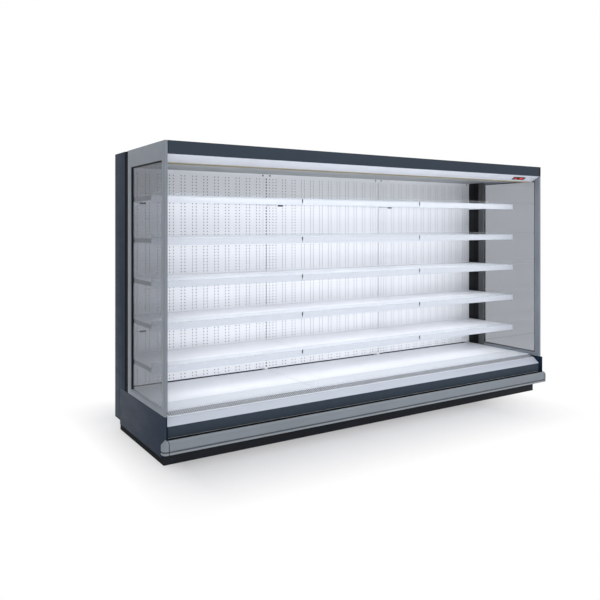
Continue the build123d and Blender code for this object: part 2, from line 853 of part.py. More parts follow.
def main():
    os.makedirs("parts", exist_ok=True)
    save("base_frame", *base_members())
    save("levelling_feet", *levelling_feet())
    save("plinth_panels", *plinth_panels())
    save("insulated_tub", insulated_tub())
    save("back_wall", back_wall())
    save("roof_panel", roof_panel())
    for side, place in (("left", lambda solid: solid), ("right", mirrored)):
        save(f"end_panel_{side}", place(end_panel()))
        save(f"end_column_{side}", place(end_column()))
        save(f"glass_frame_{side}", *[place(member) for member in glass_frame()])
        save(f"end_glass_{side}", place(end_glass()))
    save("end_trim_strips", end_trim(), mirrored(end_trim()))
    save("glass_gaskets", glass_gasket(), mirrored(glass_gasket()))
    save("front_panel", front_panel())
    save("front_ledge", front_ledge())
    save("return_air_grille", *return_air_grille())
    save("bumper", bumper())
    save("bumper_end_caps", bumper_end_cap(), mirrored(bumper_end_cap()))
    save("canopy_fascia", canopy_fascia())
    save("canopy_light_panel", canopy_light_panel())
    save("temperature_display", temperature_display())
    save("air_outlet_honeycomb", *air_outlet_honeycomb())
    save("canopy_lamp", *canopy_lamp())
    save("ceiling_panel", ceiling_panel())
    save("canopy_brackets", *canopy_brackets())
    save("uprights", *uprights())
    save("back_panels", *back_panels())
    save("panel_screws", *panel_screws())
    save("deck_supports", *deck_supports())
    save("deck_stopper", *deck_stopper())
    save("fan_plate", fan_plate())
    save("fan_motors", *[fan_motor(line) for line in bay_lines()[:-1]])
    save("evaporator", *evaporator())
    save("drain_pipe", drain_pipe())
    save("refrigerant_lines", *refrigerant_lines())
    save("electrical_box", *electrical_box())
    for bay, line in enumerate(bay_lines()[:-1], start=1):
        save(f"deck_pan_bay{bay}", deck_pan(line))
        save(f"fan_rotor_bay{bay}", fan_rotor(line))
        for row, top in enumerate(shelf_heights(), start=1):
            save(f"shelf_row{row}_bay{bay}", *shelf(line, top))


main()
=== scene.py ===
from math import atan, cos, hypot, pi, radians, sin, sqrt, tan

import bpy
import bmesh
from mathutils import Matrix, Vector


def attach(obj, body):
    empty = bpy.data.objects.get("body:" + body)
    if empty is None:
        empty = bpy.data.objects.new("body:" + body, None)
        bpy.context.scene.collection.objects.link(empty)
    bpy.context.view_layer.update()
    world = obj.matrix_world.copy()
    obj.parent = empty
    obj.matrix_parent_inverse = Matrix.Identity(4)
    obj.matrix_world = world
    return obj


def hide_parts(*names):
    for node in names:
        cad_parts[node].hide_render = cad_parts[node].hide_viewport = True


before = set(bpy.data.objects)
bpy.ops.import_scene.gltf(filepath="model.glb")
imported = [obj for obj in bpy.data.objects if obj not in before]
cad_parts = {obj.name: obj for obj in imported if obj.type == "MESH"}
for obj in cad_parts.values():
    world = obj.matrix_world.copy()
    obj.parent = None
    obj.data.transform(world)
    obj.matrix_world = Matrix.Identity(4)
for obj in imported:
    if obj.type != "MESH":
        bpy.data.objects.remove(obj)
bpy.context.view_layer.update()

# Places are written in millimetres: x from the outer face of the left end wall,
# y back from the front face of the end frames, z up from the floor.
MM = 0.001
BAY = 1250.0
END_WALL = 20.0
HEIGHT, DEPTH = 2160.0, 1080.0
BUMPER_REACH = 50.0
LEFT = END_WALL
BAYS = [LEFT + BAY * k for k in range(3)]
RIGHT = BAYS[-1] + BAY
LENGTH = RIGHT + END_WALL
CENTRE_X, CENTRE_Y = LENGTH / 2, (DEPTH - BUMPER_REACH) / 2
SHELF_TOPS = [1806.0 - 300.0 * k for k in range(5)]
EDGE = -20.0            # front edge of the end panels
COLUMN_FRONT = 830.6
PANEL_FACE = 896.0      # front of the perforated backs
CEILING_TOP = 2048.0


def bays(gap):
    """Start and end of every bay along the row, less a gap at both."""
    return [(line + gap, line + BAY - gap) for line in BAYS]


def place(x, y, z):
    return Vector(((x - CENTRE_X) * MM, (y - CENTRE_Y) * MM, z * MM))


def unplace(at):
    return at.x / MM + CENTRE_X, at.y / MM + CENTRE_Y, at.z / MM


# ---------------------------------------------------------------- camera
# Lens, shift, place and turn were solved from corners and seams seen in the photo.
camera_data = bpy.data.cameras.new("camera")
camera = bpy.data.objects.new("camera", camera_data)
bpy.context.collection.objects.link(camera)
camera_data.sensor_width = 36.0
camera_data.lens = 39.548
camera_data.shift_y = -0.12414
camera_data.clip_end = 100.0
camera.location = (-3.46145, -4.62129, 1.59889)
camera.rotation_euler = (radians(90), 0, radians(-32.4736))
bpy.context.scene.camera = camera


# ---------------------------------------------------------------- materials
def feed(tree, socket, value):
    """Give a socket a plain value, or link it to the output that feeds it."""
    if isinstance(value, bpy.types.NodeSocket):
        tree.links.new(value, socket)
    elif socket.type == "RGBA":
        socket.default_value = (*value, 1)
    else:
        socket.default_value = value


def node(tree, kind, *places, take=0, **named):
    """Add a node and return one output. Inputs go by place or, with _ for a space, by name."""
    made = tree.nodes.new("ShaderNode" + kind)
    for socket, value in zip(made.inputs, places):
        feed(tree, socket, value)
    for key, value in named.items():
        feed(tree, made.inputs[key.replace("_", " ")], value)
    return made.outputs[take]


def number(tree, operation, *values, clamp=False):
    """Arithmetic on outputs and plain numbers."""
    made = tree.nodes.new("ShaderNodeMath")
    made.operation, made.use_clamp = operation, clamp
    for socket, value in zip(made.inputs, values):
        feed(tree, socket, value)
    return made.outputs[0]


def noise(tree, where, scale, detail, roughness=0.5):
    return node(tree, "TexNoise", Vector=where, Scale=scale, Detail=detail, Roughness=roughness)


def remap(tree, value, low, high):
    """Spread the middle half of a noise between two values."""
    return node(tree, "MapRange", Value=value, From_Min=0.25, From_Max=0.75,
                To_Min=low, To_Max=high)


def tint(tree, share, a, b):
    made = tree.nodes.new("ShaderNodeMix")
    made.data_type = "RGBA"
    for key, value in (("Factor", share), ("A", a), ("B", b)):
        feed(tree, made.inputs[key], value)
    return made.outputs["Result"]


def seen_plainly(tree):
    """1 for what the camera sees, also by mirror or through glass, 0 for light on the object."""
    seen = node(tree, "LightPath", take="Is Camera Ray")
    rays = seen.node.outputs
    for kind in ("Is Glossy Ray", "Is Transmission Ray"):
        seen = number(tree, "MAXIMUM", seen, rays[kind])
    return seen


def fresh(name, principled=True):
    """A new material and its node tree."""
    m = bpy.data.materials.new(name)
    m.use_nodes = True
    if not principled:
        m.node_tree.nodes.remove(m.node_tree.nodes["Principled BSDF"])
    return m, m.node_tree


def surface(name, colour, rough, vary=0.05, patch=2.5, grain=350.0, depth=0.00006, strength=0.35,
            stretch=(1, 1, 1), crystals=False, rough_swing=0.06, **sockets):
    """Principled material: colour drifts in patches, roughness wanders, a fine grain bumps it."""
    m, t = fresh(name)
    where = node(t, "Mapping", Vector=node(t, "TexCoord", take="Object"), Scale=stretch)
    drift = remap(t, noise(t, where, patch, 4.0), 0.0, 1.0)
    dark = [c * (1 - vary) for c in colour]
    pale = [min(1.0, c * (1 + vary)) for c in colour]
    wander = noise(t, where, patch * 6, 5.0, 0.6)
    if crystals:
        height = node(t, "TexVoronoi", Vector=where, Scale=grain, take="Distance")
    else:
        height = noise(t, where, grain, 2.0)
    sockets["Base_Color"] = tint(t, drift, dark, pale)
    sockets["Roughness"] = remap(t, wander, rough - rough_swing, rough + rough_swing)
    sockets["Normal"] = node(t, "Bump", Strength=strength, Distance=depth, Height=height)
    for key, value in sockets.items():
        feed(t, t.nodes["Principled BSDF"].inputs[key.replace("_", " ")], value)
    return m


def spangled(name, colour, rough, **sockets):
    """Zinc coating: crystal patches that differ in tone and shine."""
    scale = 90.0
    m = surface(name, colour, rough, vary=0.06, grain=scale, crystals=True, strength=0.15,
                **sockets)
    t = m.node_tree
    shader = t.nodes["Principled BSDF"]
    where = t.nodes["Mapping"].outputs["Vector"]
    cells = node(t, "TexVoronoi", Vector=where, Scale=scale, take="Color")
    tone = node(t, "SeparateColor", cells, take="Red")
    dark = [c * 0.82 for c in colour]
    pale = [min(1.0, c * 1.12) for c in colour]
    feed(t, shader.inputs["Base Color"], tint(t, tone, dark, pale))
    shine = remap(t, tone.node.outputs["Green"], rough - 0.1, rough + 0.1)
    feed(t, shader.inputs["Roughness"], shine)
    return m


def pane(name, colour, fresnel, haze, sheen=0.0):
    """Thin clear sheet: tinted see-through light with a Fresnel share of mirror reflection.

    Only the face that light enters by tints and mirrors it, so a sheet counts once."""
    m, t = fresh(name, principled=False)
    where = node(t, "TexCoord", take="Object")
    leaving = node(t, "NewGeometry", take="Backfacing")
    smear = remap(t, noise(t, where, 1.6, 4.0), 0.0, 1.0)
    dark = [c * 0.97 for c in colour]
    through = node(t, "BsdfTransparent",
                   Color=tint(t, leaving, tint(t, smear, dark, colour), (1, 1, 1)))
    ripple = node(t, "Bump", Strength=0.02, Distance=0.001, Height=noise(t, where, 3.0, 1.0))
    gloss = node(t, "BsdfGlossy", Roughness=0.02, Color=(0.96, 0.97, 1.0), Normal=ripple)
    mirrored = number(t, "ADD", node(t, "Fresnel", IOR=fresnel), sheen)
    share = number(t, "MULTIPLY", mirrored, number(t, "SUBTRACT", 1.0, leaving))
    clear = node(t, "MixShader", share, through, gloss)
    film = node(t, "BsdfDiffuse", Color=(0.8, 0.84, 0.9))
    dust = remap(t, noise(t, where, 5.0, 5.0), haze * 0.7, haze * 1.3)
    feed(t, t.nodes["Material Output"].inputs["Surface"], node(t, "MixShader", dust, clear, film))
    return m


SATIN = dict(vary=0.10, patch=1.3, grain=420.0, depth=0.0001, strength=0.25,
             Specular_IOR_Level=0.05)
MOULDED = dict(patch=3.0, grain=900.0, Specular_IOR_Level=0.25)
KICK = dict(vary=0.15, patch=3.0, grain=500.0, depth=0.0001, strength=0.3)
POWDER = dict(patch=2.0, grain=520.0, depth=0.00008, strength=0.25)
POLISHED = dict(vary=0.03, Specular_IOR_Level=0.3, **POWDER)

PAINT = surface("anthracite_paint", (0.040, 0.053, 0.071), 0.42, stretch=(0.5, 1, 1.6), **SATIN)
# The end walls take a darker copy of the anthracite paint: painted shade on the cabinet's sides.
SIDE_PAINT_SHADED = surface("anthracite_side_paint", (0.0110, 0.0228, 0.0450), 0.45,
                     stretch=(1, 0.5, 1.6), **SATIN)
INNER_DARK = surface("inner_dark_paint", (0.012, 0.013, 0.015), 0.5, vary=0.1,
                     Specular_IOR_Level=0.2)
FRAME_GREY = surface("frame_grey", (0.212, 0.236, 0.268), 0.42, patch=2.0, grain=650.0,
                     depth=0.00005, strength=0.3, Specular_IOR_Level=0.2)
# Painted shade: the rear stiles' inner faces take a darker copy of the frame grey.
REAR_STILE_SHADE = surface("rear_stile_lining", (0.085, 0.088, 0.088), 0.5, vary=0.06, patch=3.0,
                     grain=650.0, depth=0.00005, Specular_IOR_Level=0.2)
BUMPER_GREY = surface("bumper_plastic", (0.218, 0.241, 0.268), 0.5, depth=0.00012, strength=0.5,
                      **MOULDED)
BUMPER_LIP = surface("bumper_lip", (0.272, 0.296, 0.325), 0.45, vary=0.04, depth=0.0001,
                     strength=0.4, **MOULDED)
# Painted shade in the bumper's groove: a darker copy of the bumper grey.
GROOVE_SHADE = surface("bumper_groove", (0.10, 0.112, 0.128), 0.6, vary=0.06, patch=6.0, grain=900.0,
                 depth=0.0001, Specular_IOR_Level=0.2)
PLINTH = surface("plinth_black", (0.0165, 0.0185, 0.0230), 0.55, Specular_IOR_Level=0.12, **KICK)
# The plinth's end panels take a darker, duller copy of the plinth black: painted shade on the ends.
PLINTH_END_SHADE = surface("plinth_end_black", (0.0075, 0.0088, 0.0112), 0.7, Specular_IOR_Level=0.05,
                     **KICK)
WHITE = surface("white_powder_paint", (0.82, 0.835, 0.865), 0.52, vary=0.025,
                Specular_IOR_Level=0.25, **POWDER)
PALE = surface("pale_ledge_paint", (0.500, 0.535, 0.600), 0.38, **POLISHED)
GRILLE_PALE = surface("grille_paint", (0.72, 0.75, 0.81), 0.42, **POLISHED)
HEAD_PALE = surface("pale_canopy_paint", (0.785, 0.815, 0.885), 0.38, **POLISHED)
CEILING = surface("ceiling_paint", (0.415, 0.440, 0.455), 0.45, vary=0.03, patch=1.5, grain=520.0)
RAIL = surface("ticket_rail_plastic", (0.68, 0.735, 0.81), 0.28, vary=0.02, patch=4.0,
               grain=900.0, depth=0.00003, strength=0.2)
PAPER = surface("label_paper", (0.70, 0.735, 0.80), 0.7, vary=0.02, patch=30.0, grain=1500.0,
                depth=0.00003)
BEIGE = surface("outlet_beige", (0.47, 0.425, 0.31), 0.55, vary=0.06, patch=8.0, grain=900.0)
# Black rubber, also used as painted shade in the pane reveals, the cable slots, the screw recesses
# and at the fascia's right end.
RUBBER_AND_SHADE = surface("black_rubber", (0.010, 0.010, 0.011), 0.7, vary=0.15, patch=20.0, grain=1600.0,
                 depth=0.00008, Specular_IOR_Level=0.15)
# Near black for black washers, and as painted shade in slots, seams and gaps.
SHADE_AND_SEAL_BLACK = surface("seal_black", (0.0035, 0.0038, 0.0045), 0.75, vary=0.2, patch=14.0,
                     grain=1400.0, depth=0.00008, Specular_IOR_Level=0.05)
SHELL = surface("shell_sheet", (0.66, 0.68, 0.70), 0.4, vary=0.04, patch=1.5, grain=300.0,
                depth=0.0001)
ZINC = spangled("galvanised", (0.55, 0.57, 0.60), 0.42, Metallic=0.9)
ALUMINIUM = surface("fin_aluminium", (0.72, 0.73, 0.75), 0.35, vary=0.06, patch=6.0, grain=900.0,
                    stretch=(1, 1, 8), Metallic=1.0)
COPPER = surface("copper", (0.70, 0.34, 0.20), 0.32, vary=0.14, patch=14.0, grain=900.0,
                 Metallic=1.0)
STEEL = surface("zinc_steel", (0.56, 0.56, 0.58), 0.3, vary=0.06, patch=40.0, grain=1800.0,
                Metallic=1.0)
BLACK_STEEL = surface("blackened_steel", (0.02, 0.02, 0.022), 0.4, vary=0.1, patch=40.0,
                      grain=1800.0, Metallic=0.5)
FAN = surface("fan_plastic", (0.03, 0.032, 0.035), 0.38, vary=0.1, patch=12.0, grain=1100.0)
MOTOR = surface("motor_paint", (0.05, 0.055, 0.06), 0.45, vary=0.12, patch=12.0, grain=900.0,
                depth=0.0001)
DRAIN = surface("drain_plastic", (0.42, 0.43, 0.45), 0.42, patch=12.0, grain=1200.0)
BOX = surface("box_plastic", (0.50, 0.52, 0.54), 0.45, vary=0.04, patch=8.0, grain=900.0,
              depth=0.0001)
GLOSS_BLACK = surface("display_window", (0.008, 0.008, 0.010), 0.2, vary=0.1, patch=20.0,
                      grain=300.0, depth=0.00002, rough_swing=0.03, Specular_IOR_Level=0.12)
# Near black for the inside of the air duct and behind the uprights' slots: painted shade where
# little light gets in.
DUCT_SHADE = surface("duct_painted_shade", (0.03, 0.03, 0.034), 0.8, vary=0.2, patch=6.0, grain=200.0,
                      depth=0.0006, strength=0.6, Specular_IOR_Level=0.1)
RED_DIGITS = surface("red_digits", (0.75, 0.02, 0.015), 0.3, vary=0.04, patch=60.0, grain=900.0,
                     Emission_Color=(1, 0.03, 0.02), Emission_Strength=1.2)
GLASS = pane("side_glass", (0.33, 0.345, 0.37), 1.12, haze=0.015, sheen=0.05)
ACRYLIC = pane("clear_acrylic", (0.95, 0.97, 0.98), 1.4, haze=0.04)
LAMP = surface("lamp_diffuser", (0.85, 0.86, 0.88), 0.4, vary=0.02, grain=900.0, depth=0.00003,
               Emission_Color=(1.0, 0.985, 0.97), Emission_Strength=6.0)


# ---------------------------------------------------------------- mesh helpers
def fillet(points, radii, steps):
    """A closed outline with its corners rounded by the given radii."""
    out = []
    count = len(points)
    for i, (point, radius) in enumerate(zip(points, radii)):
        p = Vector(point)
        a = Vector(points[i - 1]) - p
        b = Vector(points[(i + 1) % count]) - p
        if radius <= 0 or a.length == 0 or b.length == 0:
            out.append(tuple(p))
            continue
        angle = a.angle(b)
        if abs(angle - pi) < 1e-3:
            out.append(tuple(p))
            continue
        reach = min(radius / tan(angle / 2), 0.49 * a.length, 0.49 * b.length)
        radius = reach * tan(angle / 2)
        start, end = p + a.normalized() * reach, p + b.normalized() * reach
        middle = p + (a.normalized() + b.normalized()).normalized() * (radius / sin(angle / 2))
        u, v = start - middle, end - middle
        sweep = u.angle(v)
        for k in range(steps + 1):
            f = k / steps
            w = (u * sin((1 - f) * sweep) + v * sin(f * sweep)) / sin(sweep)
            out.append(tuple(middle + w))
    return out


def rounded_rectangle(u0, u1, v0, v1, radius, steps):
    return fillet([(u0, v0), (u1, v0), (u1, v1), (u0, v1)], [radius] * 4, steps)


def turns(count):
    """Angles of count places round a circle."""
    return [2 * pi * k / count for k in range(count)]


def round_line(u, v, radius, sides):
    """Outline of a circle about (u, v)."""
    return [(u + radius * cos(a), v + radius * sin(a)) for a in turns(sides)]


def across(side, x):
    """A place counted from the outer face of the end wall on that side."""
    return x if side == "left" else LENGTH - x


def span(side, a, b):
    return sorted((across(side, a), across(side, b)))


SHARP = radians(35)      # edges that turn by more are rounded


class Piece:
    """Collects vertices and faces in millimetres, then becomes one object."""

    def __init__(self, name):
        self.name = name
        self.bm = bmesh.new()
        self.materials = []

    def slot(self, material):
        if material not in self.materials:
            self.materials.append(material)
        return self.materials.index(material)

    def faces(self, points, polygons, material):
        index = self.slot(material)
        verts = [self.bm.verts.new(place(*p)) for p in points]
        made = []
        for polygon in polygons:
            face = self.bm.faces.new([verts[i] for i in polygon])
            face.material_index = index
            made.append(face)
        return made

    def loft(self, rings, material, caps=True):
        """Join rings of equal length, each a list of points."""
        count = len(rings[0])
        points = [p for ring in rings for p in ring]
        polygons = []
        for r in range(len(rings) - 1):
            for i in range(count):
                j = (i + 1) % count
                low, high = r * count, (r + 1) * count
                polygons.append((low + i, low + j, high + j, high + i))
        if caps:
            polygons.append(tuple(reversed(range(count))))
            polygons.append(tuple(range((len(rings) - 1) * count, len(rings) * count)))
        return self.faces(points, polygons, material)

    def along_x(self, section, x0, x1, material):
        """Extrude a (y, z) outline from x0 to x1."""
        return self.loft([[(x, y, z) for y, z in section] for x in (x0, x1)], material)

    def along_y(self, section, y0, y1, material):
        """Extrude an (x, z) outline from y0 to y1."""
        return self.loft([[(x, y, z) for x, z in section] for y in (y0, y1)], material)

    def along_z(self, section, z0, z1, material):
        """Extrude an (x, y) outline from z0 to z1."""
        return self.loft([[(x, y, z) for x, y in section] for z in (z0, z1)], material)

    def box(self, x0, x1, y0, y1, z0, z1, material, radius=1.0):
        """Block with rounded long edges along its longest side."""
        spans = (x1 - x0, y1 - y0, z1 - z0)
        longest = spans.index(max(spans))
        if longest == 0:
            return self.along_x(rounded_rectangle(y0, y1, z0, z1, radius, 2), x0, x1, material)
        if longest == 1:
            return self.along_y(rounded_rectangle(x0, x1, z0, z1, radius, 2), y0, y1, material)
        return self.along_z(rounded_rectangle(x0, x1, y0, y1, radius, 2), z0, z1, material)

    def ring(self, outer, inner, axis, a0, a1, material):
        """Flat frame between two outlines of equal length, a0 to a1 thick along an axis."""
        def lift(point, a):
            u, v = point
            return {"x": (a, u, v), "y": (u, a, v), "z": (u, v, a)}[axis]
        rings = [[lift(p, a) for p in outline] for outline, a in
                 ((outer, a0), (outer, a1), (inner, a1), (inner, a0), (outer, a0))]
        return self.loft(rings, material, caps=False)

    def disc(self, centre, direction, radius, height, material, sides=16, dome=0.0):
        """Short cylinder or domed head, standing on centre along direction."""
        direction = Vector(direction).normalized()
        side = direction.orthogonal().normalized()
        other = direction.cross(side)
        centre = Vector(centre)
        levels = [(0, 1.0), (height - dome, 1.0)]
        if dome:
            levels += [(height - dome * 0.4, 0.86), (height - dome * 0.08, 0.5)]
        rings = []
        for lift, share in levels:
            rings.append([tuple(centre + direction * lift + (side * cos(a)
                                + other * sin(a)) * radius * share) for a in turns(sides)])
        return self.loft(rings, material)

    def recolour(self, test, material):
        """Give another material to the faces whose middle passes the test."""
        index = self.slot(material)
        for face in self.bm.faces:
            if test(*unplace(face.calc_center_median())):
                face.material_index = index

    def soften(self, width, segments=2):
        """Round every sharp edge."""
        bmesh.ops.remove_doubles(self.bm, verts=self.bm.verts, dist=1e-6)
        sharp = [e for e in self.bm.edges
                 if len(e.link_faces) == 2 and e.calc_face_angle(0) > SHARP]
        bmesh.ops.bevel(self.bm, geom=sharp, offset=width * MM, segments=segments, profile=0.5,
                        affect="EDGES", clamp_overlap=True)

    def mesh(self, smooth=40.0):
        bmesh.ops.recalc_face_normals(self.bm, faces=self.bm.faces)
        data = bpy.data.meshes.new(self.name)
        self.bm.to_mesh(data)
        self.bm.free()
        for material in self.materials:
            data.materials.append(material)
        if smooth is None:
            data.shade_flat()
        else:
            data.shade_smooth()
            data.set_sharp_from_angle(angle=radians(smooth))
        return data

    def finish(self, *nodes, body="cabinet", smooth=40.0):
        show(self.name, self.mesh(smooth), nodes, body)


def show(name, data, nodes, body, offset=(0, 0, 0)):
    """Put a mesh in the scene, on its body, in place of its CAD nodes."""
    item = bpy.data.objects.new(name, data)
    item.location = Vector(offset) * MM
    bpy.context.collection.objects.link(item)
    bpy.context.view_layer.update()
    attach(item, body)
    if nodes:
        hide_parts(*nodes)


def dress(node_name, material, bevel=0.0):
    """Give a CAD node a finish and, if asked, rounded edges."""
    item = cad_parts[node_name]
    item.data.materials.clear()
    item.data.materials.append(material)
    if bevel:
        weld = item.modifiers.new("weld", "WELD")
        weld.merge_threshold = 0.00001
        round_off = item.modifiers.new("bevel", "BEVEL")
        round_off.width = bevel * MM
        round_off.segments = 2
        round_off.limit_method = "ANGLE"
        round_off.angle_limit = SHARP


# ---------------------------------------------------------------- end walls
PANE_EDGES = (54, 688, 375, 2031)     # front, back, foot and head of a glass frame's opening
PANE_BACK = PANE_EDGES[1]


def pane_line(inset, radius, steps):
    """Outline of the opening, drawn in by inset."""
    y0, y1, z0, z1 = PANE_EDGES
    return rounded_rectangle(y0 + inset, y1 - inset, z0 + inset, z1 - inset, radius, steps)


def end_wall(side):
    """One end: lower panel, column, glazed frame and pane. Its trim strip is handed back."""
    inner_face = across(side, END_WALL)

    # The lower panel's outer sheet reaches farther forward than its inner one.
    panel = Piece(f"lower_panel_{side}")
    for front, top_round, x0, x1 in ((EDGE, 3, 0, 9), (6, 1, 9.1, END_WALL)):
        outline = fillet([(front, 104), (74, 104), (74, 60), (954.2, 60), (954.2, 341.2),
                          (front, 341.2)], [1, 0, 2, 1, 1, top_round], 3)
        # painted shade: the sides' darker copy of the anthracite paint
        panel.along_x(outline, *span(side, x0, x1), SIDE_PAINT_SHADED)
    panel.soften(1.2)
    panel.finish(f"end_panel_{side}")

    column = Piece(f"column_{side}")
    outline = fillet([(COLUMN_FRONT, 342), (955, 342), (955, 90), (DEPTH, 90), (DEPTH, HEIGHT),
                      (COLUMN_FRONT, HEIGHT)], [1, 1, 2, 3, 5, 1], 3)
    # painted shade: the sides' darker copy of the anthracite paint
    column.along_x(outline, *span(side, 0, END_WALL), SIDE_PAINT_SHADED)
    column.soften(2.0, 3)
    column.recolour(lambda x, y, z: abs(x - inner_face) < 0.05, INNER_DARK)
    column.finish(f"end_column_{side}")

    border = Piece(f"glazing_frame_{side}")
    border.ring(rounded_rectangle(0, 762, 342.6, HEIGHT, 2.5, 3), pane_line(0, 9, 3), "x",
                *span(side, 0, END_WALL), FRAME_GREY)
    border.soften(1.6, 3)
    whole = border.bm.verts[:] + border.bm.edges[:] + border.bm.faces[:]
    bmesh.ops.bisect_plane(border.bm, geom=whole, plane_co=place(0, PANE_BACK, 0),
                           plane_no=(0, 1, 0))
    # painted shade on the rear stile's inner face
    border.recolour(lambda x, y, z: abs(x - inner_face) < 0.05 and y > PANE_BACK, REAR_STILE_SHADE)
    border.finish(f"glass_frame_{side}")

    glass = Piece(f"pane_{side}")
    glass.along_x(pane_line(1, 8, 3), *span(side, 13, 19), GLASS)
    glass.finish(f"end_glass_{side}")

    trim = Piece(f"trim_{side}")
    trim.along_x(fillet([(762.4, 342), (829.8, 342), (829.8, 2159), (762.4, 2159)], [1] * 4, 1),
                 *span(side, 6, END_WALL), RUBBER_AND_SHADE)
    for y in (771, 784, 796, 809, 821):
        trim.along_x(rounded_rectangle(y - 3.2, y + 3.2, 344, 2158, 2.5, 2), *span(side, 4, 8),
                     RUBBER_AND_SHADE)
    return trim


def seal_and_reveal_shade(side):
    """Rubber lining a pane's reveal at head and sides, as painted shade; a light metal seat at its
    foot.
    """
    piece = Piece(f"pane_seal_{side}")
    outer, inner, lip = pane_line(0.2, 9, 4), pane_line(7, 7, 4), pane_line(10, 7, 4)
    rings = [[(across(side, x), u, v) for u, v in outline] for outline, x in
             ((outer, 13.0), (outer, 2.5), (inner, 3.5), (inner, 10.5), (lip, 13.0))]
    piece.loft(rings, RUBBER_AND_SHADE, caps=False)
    piece.recolour(lambda x, y, z: z < 386, FRAME_GREY)
    return piece


SIDES = ("left", "right")
trims, seals_and_shades = [], []
for side in SIDES:
    trims.append(end_wall(side))
    seals_and_shades.append(seal_and_reveal_shade(side))
for piece in trims:
    piece.finish("end_trim_strips")
for piece in seals_and_shades:
    piece.finish("glass_gaskets")


# ---------------------------------------------------------------- front
GRILLE_RUN, GRILLE_RISE = 72, 29
SLOPE_LENGTH = hypot(GRILLE_RUN, GRILLE_RISE)
GRILLE_PITCH = 16


def inclined(points):
    """Points on the grille's slope: (x, distance up the slope, height above its face)."""
    slope = atan(GRILLE_RISE / GRILLE_RUN)
    out = []
    for x, s, h in points:
        out.append((x, 60 + s * cos(slope) - h * sin(slope),
                    321 + s * sin(slope) + h * cos(slope)))
    return out


def slotted(piece, lift, u_edges, v0, v1, holes, depth, material, wall=None):
    """Flat strip with one row of round-ended slots. holes = [(u0, u1, v0, v1)] between u_edges."""
    steps = 3
    for (a, b), (h0, h1, w0, w1) in zip(u_edges, holes):
        radius = min(h1 - h0, w1 - w0) / 2 * 0.98
        hole = fillet([(h0, w0), (h1, w0), (h1, w1), (h0, w1)], [radius] * 4, steps)
        n = steps + 1
        corners = [(a, v0), (b, v0), (b, v1), (a, v1)]
        points = [lift(u, v, 0) for u, v in corners + hole]
        polygons = []
        for side in range(4):
            arc = [4 + side * n + k for k in range(n)]
            polygons.append((side, *arc))
            nxt = 4 + ((side + 1) % 4) * n
            polygons.append((side, arc[-1], nxt, (side + 1) % 4))
        piece.faces(points, polygons, material)
        rings = [[lift(u, v, 0) for u, v in hole], [lift(u, v, -depth) for u, v in hole]]
        piece.loft(rings, wall or material, caps=False)
        under = [lift(u, v, -depth) for u, v in corners + hole]
        piece.faces(under, [tuple(reversed(p)) for p in polygons], material)


ledge = Piece("ledge")
ledge.along_x(fillet([(6.4, 276.8), (7.3, 276.2), (59.7, 317.4), (59.7, 321.3), (8.2, 281.2),
                      (6, 279.4)], [0.4, 0.4, 0.8, 1, 1.5, 1.5], 3), LEFT + 0.3, RIGHT - 0.3, PALE)
ledge.soften(0.5, 1)
ledge.finish("front_ledge")


def on_slope(u, v, h):
    return inclined([(u, v, h)])[0]


grille = Piece("return_grille")
for line in BAYS:
    count = 78
    spare = (BAY - count * GRILLE_PITCH) / 2
    edges = [(line + spare + i * GRILLE_PITCH, line + spare + (i + 1) * GRILLE_PITCH)
             for i in range(count)]
    holes = [(a + 3.3, b - 3.3, 12, SLOPE_LENGTH - 12) for a, b in edges]
    # The slot walls are near black: painted shade inside the slots.
    slotted(grille, on_slope, edges, 5, SLOPE_LENGTH - 5, holes, 4, GRILLE_PALE, SHADE_AND_SEAL_BLACK)
    for s0, s1 in ((0, 5), (SLOPE_LENGTH - 5, SLOPE_LENGTH)):
        rings = []
        for x in (line + 0.4, line + BAY - 0.4):
            bead = rounded_rectangle(s0, s1, -4, 0.6, 1.2, 2)
            rings.append(inclined([(x, s, h) for s, h in bead]))
        grille.loft(rings, PALE)
    for x0, x1 in ((line + 0.4, line + spare), (line + BAY - spare, line + BAY - 0.4)):
        grille.loft([inclined([(x, 5, -4), (x, SLOPE_LENGTH - 5, -4), (x, SLOPE_LENGTH - 5, 0),
                               (x, 5, 0)]) for x in (x0, x1)], PALE)
grille.finish("return_air_grille", smooth=None)

panel = Piece("front_band")
for line in BAYS:
    section = fillet([(6, 201.5), (9, 201.5), (9, 277.8), (6, 276.4)], [1.4, 0, 0, 1.0], 3)
    a = line + (4.0 if line == BAYS[0] else 0.05)
    b = line + BAY - (4.0 if line == BAYS[-1] else 0.05)
    panel.along_x(section, a, b, PAINT)
# Near-black strips at the band's two ends: painted shadow in the gaps beside the end walls.
for x in (LEFT, RIGHT - 4.2):
    panel.box(x, x + 4.2, 7.5, 9, 200, 277, SHADE_AND_SEAL_BLACK, 0.2)
panel.finish("front_panel")


def bumper_outline(rounding, drop=None, back=0.0, flat=0.0):
    """(distance out from the end panels' edge, height), from the foot's back to the top's."""
    wide, steps = 30.0, 7
    drop = rounding if drop is None else drop
    out = [(back, 105.5), (wide - 8, 105.5)]
    out += [(wide - 8 + 8 * sin(a), 113.5 - 8 * cos(a)) for a in (0.4, 0.8, 1.2)]
    out += [(wide, 113.5), (wide, 118.5), (wide - 0.6, 120.5), (wide - 2.0, 121.5),
            (wide - 4.5, 123.5), (wide - 4.5, 128.5), (wide - 2.0, 131.5), (wide - 0.5, 133),
            (wide, 135.5)]
    out += [(wide, 136 + (199 - drop - 136) * share) for share in (0.15, 0.45, 0.75, 0.95)]
    for k in range(steps + 1):
        a, f = pi / 2 * k / steps, k / steps
        inward = (1 - flat) * (1 - cos(a)) + flat * f
        below = (1 - flat) * (1 - sin(a)) + flat * (1 - f)
        out.append((wide - rounding * inward, 200 - drop * below))
    out.append((min(13, (wide - rounding) * 0.8), 200))
    out.append((back, 200))
    return out


